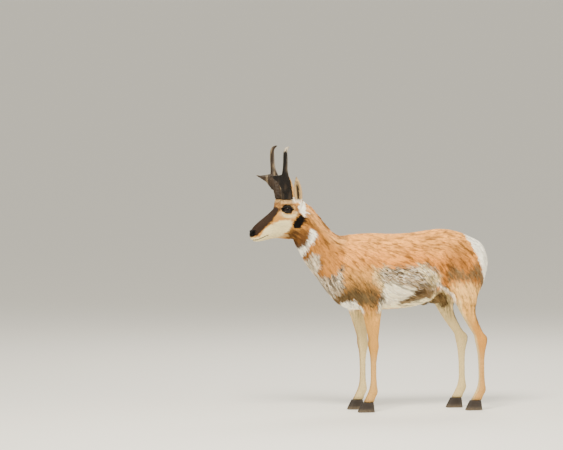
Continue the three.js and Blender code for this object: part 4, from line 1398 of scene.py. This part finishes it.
def lock_faces():
    """The triangles of one lock, by corner number."""
    faces = []
    for a in range(0, 3 * (LOCK_STATIONS - 2), 3):
        b = a + 3
        faces += [(a, b, b + 2), (a, b + 2, a + 2), (a + 1, a + 2, b + 2)]
        faces += [(a + 1, b + 2, b + 1), (a, a + 1, b + 1), (a, b + 1, b)]
    a = 3 * (LOCK_STATIONS - 2)
    faces += [(a, a + 3, a + 2), (a + 2, a + 3, a + 1), (a, a + 1, a + 3), (0, 2, 1)]
    return np.array(faces)


def mane():
    """The locks of the mane as one mesh."""
    share = np.sort(dice.random(LOCKS))
    place, ahead, up = along_nape(share)
    side = dice.normal(0, 7.0, LOCKS)
    stations = lock_stations(share, side, place, ahead, up)
    corners = lock_corners(stations, up)
    per = corners.shape[1]
    faces = (lock_faces()[None] + per * np.arange(LOCKS)[:, None, None]).reshape(-1, 3)
    points = corners.reshape(-1, 3)
    mesh = mesh_from("mane", to_real(points), faces)
    own = np.repeat(dice.random(LOCKS), per)
    tone = coat_colour(points, np.tile(LOCK_FACING, (len(points), 1)), own)
    paint(mesh, tone * (0.85 + 0.35 * own)[:, None])
    flat = np.repeat(unwrap(stations[:, 0], *NECK_UNWRAP), per, 0)
    store_unwrap(mesh, flat + np.tile(LOCK_SPREAD, (LOCKS, 1)), faces)
    return mesh


mane_mesh = mane()
mane_piece = placed("mane", mane_mesh)
mane_piece.data.materials.append(coat_hair)
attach(mane_piece, "root")
print("mane:", len(mane_mesh.polygons), "triangles")

# %% [markdown]
# ## The eyes
# A pronghorn's eyes are very large, near black and far out on the sides. Each is a ball with the
# cornea's slight bulge, a dark iris and a long level pupil, framed by black lids. The lid's rim is a small
# rounded strip of bare skin that follows the edge of the opening on the ball.

# %% Eyeballs
CORNEA_BULGE = 1.6
BALL_INSET = 1.2
PUPIL_LONG, PUPIL_TALL = 11.0, 6.0


def mixed(tint, code, amount):
    """Colours moved towards an sRGB hex colour; amount is 0 to 1 at each point."""
    return tint + (linear(code) - tint) * amount[:, None]


def eyeball(side):
    """The ball of the eye, whose tints are stored at its points."""
    bm = bmesh.new()
    bmesh.ops.create_uvsphere(bm, u_segments=64, v_segments=40, radius=1.0)
    mesh = bpy.data.meshes.new("eye")
    bm.to_mesh(mesh)
    bm.free()
    unit = points_of(mesh)[:, [0, 2, 1]] * (1, -1, 1)
    facing = unit[:, 1] * side
    bulge = CORNEA_BULGE * smooth(0.80, 0.97, facing)
    s = mirrored(EYE, side) + unit * (EYE_RADIUS - BALL_INSET + bulge)[:, None]
    put_points(mesh, to_real(s))
    along, rise = unit[:, 0] * EYE_RADIUS, unit[:, 2] * EYE_RADIUS
    iris = smooth(17.5, 16.0, np.hypot(along, rise)) * (facing > 0)
    pupil = smooth(1.15, 0.85, np.sqrt((along / PUPIL_LONG) ** 2 + (rise / PUPIL_TALL) ** 2)) * (facing > 0)
    tint = np.tile(linear("#1A1310"), (len(unit), 1))
    tint = mixed(tint, "#1D120B", iris)
    tint = mixed(tint, "#08070A", pupil)
    paint(mesh, tint)
    outward_faces(mesh)
    return mesh


for side in (LEFT, RIGHT):
    name = "eye_" + SIDE_NAMES[side]
    ball = placed("eyeball_" + SIDE_NAMES[side], eyeball(side))
    ball.data.materials.append(eye_ball)
    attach(ball, "root")
    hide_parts(name)

# %% Lids' rims
RIM_STEPS, RIM_SIDES = 96, 10
RIM_HALF_WIDE, RIM_HALF_DEEP = 2.5, 1.7


def opening_edge(turns, grow):
    """Along and up for places on the edge of the opening, at these angles."""
    c, s = np.cos(turns), np.sin(turns)
    half = np.where(c < 0, OPENING_FRONT, OPENING_BACK) + grow
    tall = np.where(s > 0, OPENING_TOP, OPENING_LOW) + grow
    return np.sign(c) * np.abs(c) ** (2 / 1.7) * half, s * tall


def on_ball(along, rise, radius, side):
    """Straight places on a ball round the eye's middle, over a place in the opening."""
    c, s = math.cos(OPENING_TILT), math.sin(OPENING_TILT)
    x, z = along * c - rise * s, along * s + rise * c
    y = np.sqrt(np.maximum(radius ** 2 - x ** 2 - z ** 2, 16.0))
    return mirrored(EYE, side) + np.stack([x, y * side, z], 1)


def ring(path, outward, half_wide, half_deep, sides):
    """A closed strip round a closed path: rounded section, outward is each place's outer direction."""
    ahead = np.roll(path, -1, 0) - np.roll(path, 1, 0)
    ahead /= np.linalg.norm(ahead, axis=1, keepdims=True)
    beside = np.cross(ahead, outward)
    beside /= np.linalg.norm(beside, axis=1, keepdims=True)
    turns = (np.arange(sides) * 2 * math.pi / sides)[None, :, None]
    section = half_wide * np.cos(turns) * beside[:, None] + half_deep * np.sin(turns) * outward[:, None]
    points = (path[:, None] + section).reshape(-1, 3)
    i, j = np.meshgrid(np.arange(len(path)), np.arange(sides), indexing="ij")
    i2, j2 = (i + 1) % len(path), (j + 1) % sides
    faces = np.stack([i * sides + j, i2 * sides + j, i2 * sides + j2, i * sides + j2], -1).reshape(-1, 4)
    return points, faces


for side in (LEFT, RIGHT):
    turns = np.linspace(0, 2 * math.pi, RIM_STEPS, endpoint=False)
    edge = on_ball(*opening_edge(turns, 0.6), EYE_RADIUS + 1.0, side)
    outward = edge - mirrored(EYE, side)
    outward /= np.linalg.norm(outward, axis=1, keepdims=True)
    points, faces = ring(edge, outward, RIM_HALF_WIDE, RIM_HALF_DEEP, RIM_SIDES)
    rim_mesh = mesh_from("lid_rim", to_real(points), faces)
    outward_faces(rim_mesh)
    rim = placed("lid_rim_" + SIDE_NAMES[side], rim_mesh)
    rim.data.materials.append(lid_skin)
    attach(rim, "root")
print("eyes and lids in place")

# %% [markdown]
# ## Lashes
# Long dark lashes shade the upper lid. They repeat along a path, so Geometry Nodes set them: a curve
# along the lid, a number of points on it, and on each point one bent, tapering hair of random length.

# %% Lashes along the upper lids
LASH_LENGTH, LASH_THICKNESS, LASH_COUNT = 11.0 * MM, 0.45 * MM, 64
LASH_SIZES = {"Min": 0.7, "Max": 1.15, "Seed": 7}


def lash_tree(material):
    """A tree that sets bent hairs along a line, each turned outward by its own angle."""
    tree = bpy.data.node_groups.new("Lashes", "GeometryNodeTree")
    face = tree.interface
    face.new_socket("Geometry", in_out="INPUT", socket_type="NodeSocketGeometry")
    for label in ("Length", "Thickness"):
        face.new_socket(label, in_out="INPUT", socket_type="NodeSocketFloat")
    face.new_socket("Count", in_out="INPUT", socket_type="NodeSocketInt")
    face.new_socket("Geometry", in_out="OUTPUT", socket_type="NodeSocketGeometry")
    given = node(tree, "NodeGroupInput")
    length, thick, number = (given.outputs[n] for n in ("Length", "Thickness", "Count"))
    reach = node(tree, "ShaderNodeCombineXYZ", X=times(tree, length, 0.35), Z=length).outputs[0]
    knee = node(tree, "ShaderNodeCombineXYZ", X=0.0, Z=times(tree, length, 0.55)).outputs[0]
    bend = {"Start": (0, 0, 0), "Middle": knee, "End": reach}
    arc = node(tree, "GeometryNodeCurveQuadraticBezier", Resolution=5, **bend).outputs[0]
    share = node(tree, "GeometryNodeSplineParameter").outputs["Factor"]
    taper = node(tree, "ShaderNodeMapRange", Value=share, To_Min=1.0, To_Max=0.12).outputs[0]
    arc = node(tree, "GeometryNodeSetCurveRadius", Curve=arc, Radius=taper).outputs[0]
    loop = node(tree, "GeometryNodeCurvePrimitiveCircle", Resolution=5, Radius=thick).outputs[0]
    hair_mesh = node(tree, "GeometryNodeCurveToMesh", i0=arc, i1=loop)
    for socket in hair_mesh.inputs:
        if socket.name == "Fill Caps":
            socket.default_value = True
    path = node(tree, "GeometryNodeMeshToCurve", Mesh=given.outputs["Geometry"]).outputs[0]
    path = node(tree, "GeometryNodeResampleCurve", Curve=path, Count=number).outputs[0]
    vector = {"data_type": "FLOAT_VECTOR"}
    facing = node(tree, "GeometryNodeInputNamedAttribute", vector, Name="outward").outputs[0]
    uphill = node(tree, "GeometryNodeInputNamedAttribute", vector, Name="uphill").outputs[0]
    spin = node(tree, "FunctionNodeAlignRotationToVector", {"axis": "Z"}, Vector=facing).outputs[0]
    about_z = {"axis": "X", "pivot_axis": "Z"}
    spin = node(tree, "FunctionNodeAlignRotationToVector", about_z, Rotation=spin, Vector=uphill).outputs[0]
    size = node(tree, "FunctionNodeRandomValue", {"data_type": "FLOAT"})
    for socket in size.inputs:
        if socket.enabled and socket.name in LASH_SIZES:
            socket.default_value = LASH_SIZES[socket.name]
    size_out = next(s for s in size.outputs if s.enabled)
    each = {"Instance": hair_mesh.outputs[0], "Rotation": spin, "Scale": size_out}
    row = node(tree, "GeometryNodeInstanceOnPoints", Points=path, **each).outputs[0]
    whole = node(tree, "GeometryNodeRealizeInstances", Geometry=row).outputs[0]
    done = node(tree, "GeometryNodeSetMaterial", Geometry=whole, Material=material).outputs[0]
    out = node(tree, "NodeGroupOutput")
    tree.links.new(done, out.inputs[0])
    return tree


def lash_path(side):
    """The line along the upper lid, with the ways that its lashes point and lean."""
    turns = np.linspace(math.radians(22), math.radians(150), 40)
    edge = on_ball(*opening_edge(turns, 0.9), EYE_RADIUS + 1.8, side)
    outward = edge - mirrored(EYE, side) + np.array([0, 0, -6.0])
    outward[:, 1] *= 1.3
    outward = turned(outward, np.full(len(turns), TURN))
    uphill = np.tile([0.0, 0.0, 1.0], (len(turns), 1))
    line = np.stack([np.arange(len(turns) - 1), np.arange(1, len(turns))], 1)
    mesh = bpy.data.meshes.new("lash_path")
    mesh.from_pydata(to_real(edge).tolist(), line.tolist(), [])
    for label, vectors in (("outward", outward), ("uphill", uphill)):
        layer = mesh.attributes.new(label, "FLOAT_VECTOR", "POINT")
        layer.data.foreach_set("vector", vectors.astype(np.float32).ravel())
    return mesh


lash_material, _, lash_shader, _ = finish_of("Lash hair, black and stiff", roughness=0.5, ior=1.55)
lash_shader.inputs["Base Color"].default_value = rgba("#0F0B0A")
lashes = lash_tree(lash_material)
ids = {item.name: item.identifier for item in lashes.interface.items_tree if item.in_out == "INPUT"}
for side in (LEFT, RIGHT):
    holder = placed("lash_path", lash_path(side))
    grow = holder.modifiers.new("Lashes", "NODES")
    grow.node_group = lashes
    grow[ids["Length"]], grow[ids["Thickness"]], grow[ids["Count"]] = LASH_LENGTH, LASH_THICKNESS, LASH_COUNT
    found = settled(holder)
    lash = placed("lashes_" + SIDE_NAMES[side], found)
    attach(lash, "root")
    print(lash.name, len(found.polygons), "faces")

# %% [markdown]
# ## Horns
# A pronghorn's horn is a bony core with a sheath of keratin: a flat blade below with a forward prong, a
# round shaft above that hooks back. Long furrows run up it and low rings cross the blade. The solid gives the
# form; melting it again gives even squares that are fine enough to hold the furrows.

# %% Horns
HORN_GRAIN = 1.9 * MM
RING_GAP = 7.5
# Each horn's tints; the last amount in each is painted light on the shaft's backward faces.
HORN_LOOKS = {
    LEFT: {"base": "#0D0805", "shifted_tone": "#4A3C2E", "wear": 0.35, "tip": 0.8, "lit_rear_face": 0.25},
    RIGHT: {"base": "#33271D", "shifted_tone": "#85735A", "wear": 0.75, "tip": 0.0, "lit_rear_face": 0.6},
}


def horn_tint(side, s, ways, furrow):
    """The horn's colours: dark, greyer where weathered, pale at the tip, dark in its furrows, and painted
    light on the shaft's backward faces.
    """
    look, z = HORN_LOOKS[side], s[:, 2]
    tint = np.tile(linear(look["base"]), (len(z), 1))
    tint = mixed(tint, look["shifted_tone"], smooth(0.5, 0.8, speckle(s * (1, 1, 0.25), 12, 15)) * look["wear"])
    tint = mixed(tint, "#C9BBA4", smooth(1302, 1322, z + 8 * (furrow > 0)) * look["tip"])
    # Painted light: the upper shaft is lighter where it faces backwards, as if lit from behind.
    lit_rear_face = smooth(1180, 1230, z) * smooth(1300, 1260, z) * smooth(0.1, 0.7, ways[:, 0]) * look["lit_rear_face"]
    tint = mixed(tint, "#A79B90", lit_rear_face)
    return tint * (1 - 0.45 * smooth(0.1, -0.35, furrow))[:, None]


def horn(side):
    """One horn: the solid in fine squares, with furrows, rings and its own tints."""
    mesh = melted("horn", ["horn_" + SIDE_NAMES[side]], HORN_GRAIN)
    points = relaxed(points_of(mesh), edges_of(mesh), 6)
    s = to_straight(points)
    ways = normals_of(points, triangles_of(mesh))
    z = s[:, 2]
    blade = smooth(1215, 1150, z)
    furrow = speckle(s * (1, 1, 0.09), 4.2, 11) - 0.5
    rings = np.sin((z + 6 * speckle(s, 14, 12)) / RING_GAP * math.pi) * speckle(s, 22, 13)
    knobs = speckle(s, 7, 14) - 0.5
    push = furrow * (1.8 * blade + 0.7 * (1 - blade)) + rings * 0.5 * blade + knobs * (1.2 * blade + 0.15)
    push *= smooth(1327, 1300, z) * 0.8 + 0.2
    put_points(mesh, points + ways * (push * MM)[:, None])
    paint(mesh, horn_tint(side, s, ways, furrow))
    return mesh


for side in (LEFT, RIGHT):
    name = "horn_" + SIDE_NAMES[side]
    piece = placed("sheath_" + SIDE_NAMES[side], horn(side))
    piece.data.materials.append(horn_sheath)
    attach(piece, "root")
    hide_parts(name)
    print(piece.name, len(piece.data.polygons), "faces")

# %% [markdown]
# ## Ears
# The ear is a rolled leaf of gristle, thin and open to the side. Short tan hair covers its back, its root is
# pale and its tip brown, and its inside is dark along the middle between paler edges.

# %% Ears
EAR_GRAIN = 1.5 * MM
EAR_WAY = np.array([-0.108, 0.058, 0.992])
EAR_OPEN = np.array([-0.62, 0.78, -0.05])


def ear_tint(s, ways, side):
    """The ear's colours: tan outside, dark inside, a brown tip and pale hair about its root."""
    q = mirrored(s, side) - EAR_ROOT
    up = q @ EAR_WAY
    beside = q @ np.cross(EAR_OPEN, EAR_WAY)
    inside = smooth(-0.05, 0.3, mirrored(ways, side) @ EAR_OPEN)
    streak = speckle(s * (1, 1, 0.15), 3, 21)
    middle = smooth(9.5, 4.5, np.abs(beside) + 4 * (streak - 0.5)) * smooth(10, 25, up) * smooth(112, 85, up)
    tint = np.tile(linear("#C79A60"), (len(s), 1)) * (0.85 + 0.3 * streak)[:, None]
    tint = mixed(tint, "#A8906A", inside * 0.85)
    tint = mixed(tint, "#1E1611", inside * middle * 0.95)
    tint = mixed(tint, "#4A3220", smooth(122, 138, up) * 0.6)
    return mixed(tint, "#F4EDDF", smooth(34, 16, up + 8 * streak) * 0.9)


for side in (LEFT, RIGHT):
    name = "ear_" + SIDE_NAMES[side]
    mesh = melted("ear", [name], EAR_GRAIN)
    points = relaxed(points_of(mesh), edges_of(mesh), 4)
    put_points(mesh, points)
    faces = triangles_of(mesh)
    ways = turned(normals_of(points, faces), np.full(len(points), -TURN))
    paint(mesh, ear_tint(to_straight(points), ways, side))
    piece = placed("ear_leaf_" + SIDE_NAMES[side], mesh)
    piece.data.materials.append(face_hair)
    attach(piece, "root")
    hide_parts(name)
    print(piece.name, len(faces), "triangles")

# %% [markdown]
# ## Hooves
# Each foot stands on two narrow claws, split in the middle. The wall is hard keratin that grows down in
# rings. The solid has the form; finer squares round its edges and hold the rings. The sole stays flat on
# the ground.

# %% Hooves
HOOF_GRAIN = 1.7 * MM
HOOF_RING_GAP, SOLE_HEIGHT = 4.2, 1.2
for end in ("fore", "hind"):
    for side in (LEFT, RIGHT):
        for place in ("outer", "inner"):
            name = f"claw_{end}_{SIDE_NAMES[side]}_{place}"
            mesh = melted("claw", [name], HOOF_GRAIN)
            points = relaxed(points_of(mesh), edges_of(mesh), 4)
            ways = normals_of(points, triangles_of(mesh))
            z = points[:, 2] / MM
            ridge = np.sin((z + 0.12 * points[:, 0] / MM) / HOOF_RING_GAP * math.pi) * 0.18 * smooth(4, 10, z)
            points = points + ways * (ridge * MM)[:, None] * (1 - np.abs(ways[:, 2:]))
            points[:, 2] = np.where(z < SOLE_HEIGHT, 0.0, np.maximum(points[:, 2], 0.0))
            put_points(mesh, points)
            piece = placed(name.replace("claw", "hoof"), mesh)
            piece.data.materials.append(hoof_wall)
            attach(piece, "root")
            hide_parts(name)
print("eight hoof claws in place")

# %% [markdown]
# ## The studio
# A plain pale floor and soft light: a wide lamp high on the camera's side as the key, a weaker one from the
# rear, one from behind for the outline of the back, and a pale sky all round. The white rump keeps its form
# and the shadow is soft. The floor is so wide that its edge is a far horizon.

# %% Floor and lights
FLOOR_HALF = 420.0
MIDDLE = Vector((0, 0, 0.7))
LAMPS = {
    # Each lamp's place, its width, its power in watts and its tone.
    "key": ((-1.4, -3.2, 4.6), 1.6, 500, (1.0, 0.93, 0.78)),
    "fill": ((3.5, -3.4, 1.8), 3.0, 60, (1.0, 0.96, 0.88)),
    "back": ((1.5, 3.4, 4.2), 2.4, 170, (1.0, 0.95, 0.84)),
}
SKY_TONE, SKY_STRENGTH = "#F6F1E2", 0.85

floor_mesh = bpy.data.meshes.new("floor")
floor_corners = [(x * FLOOR_HALF, y * FLOOR_HALF, 0) for x, y in ((-1, -1), (1, -1), (1, 1), (-1, 1))]
floor_mesh.from_pydata(floor_corners, [], [(0, 1, 2, 3)])
floor = placed("floor", floor_mesh)
floor_finish, _, floor_shader, _ = finish_of("Studio floor, matt paint", roughness=0.9)
floor_shader.inputs["Base Color"].default_value = rgba("#F1EFEA")
floor.data.materials.append(floor_finish)
floor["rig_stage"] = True


def lamp(name, place, size, watts, tone):
    """A square soft lamp that points at the animal's middle."""
    light = bpy.data.lights.new(name, "AREA")
    light.size, light.energy, light.color = size, watts, tone
    holder = bpy.data.objects.new(name, light)
    holder.location = place
    holder.rotation_mode = "QUATERNION"
    holder.rotation_quaternion = (MIDDLE - Vector(place)).to_track_quat("-Z", "Y")
    bpy.context.scene.collection.objects.link(holder)


for name, look in LAMPS.items():
    lamp(name, *look)
world = bpy.data.worlds.new("studio")
world.use_nodes = True
sky = world.node_tree.nodes["Background"]
sky.inputs["Color"].default_value = rgba(SKY_TONE)
sky.inputs["Strength"].default_value = SKY_STRENGTH
bpy.context.scene.world = world
print(len(LAMPS), "lamps over a floor", 2 * FLOOR_HALF, "m wide")

# %% Measure
shown = [o for o in bpy.data.objects if o.type == "MESH" and not o.hide_render and not o.get("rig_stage")]
print("triangles in all:", sum(len(triangles_of(o.data)) for o in shown))
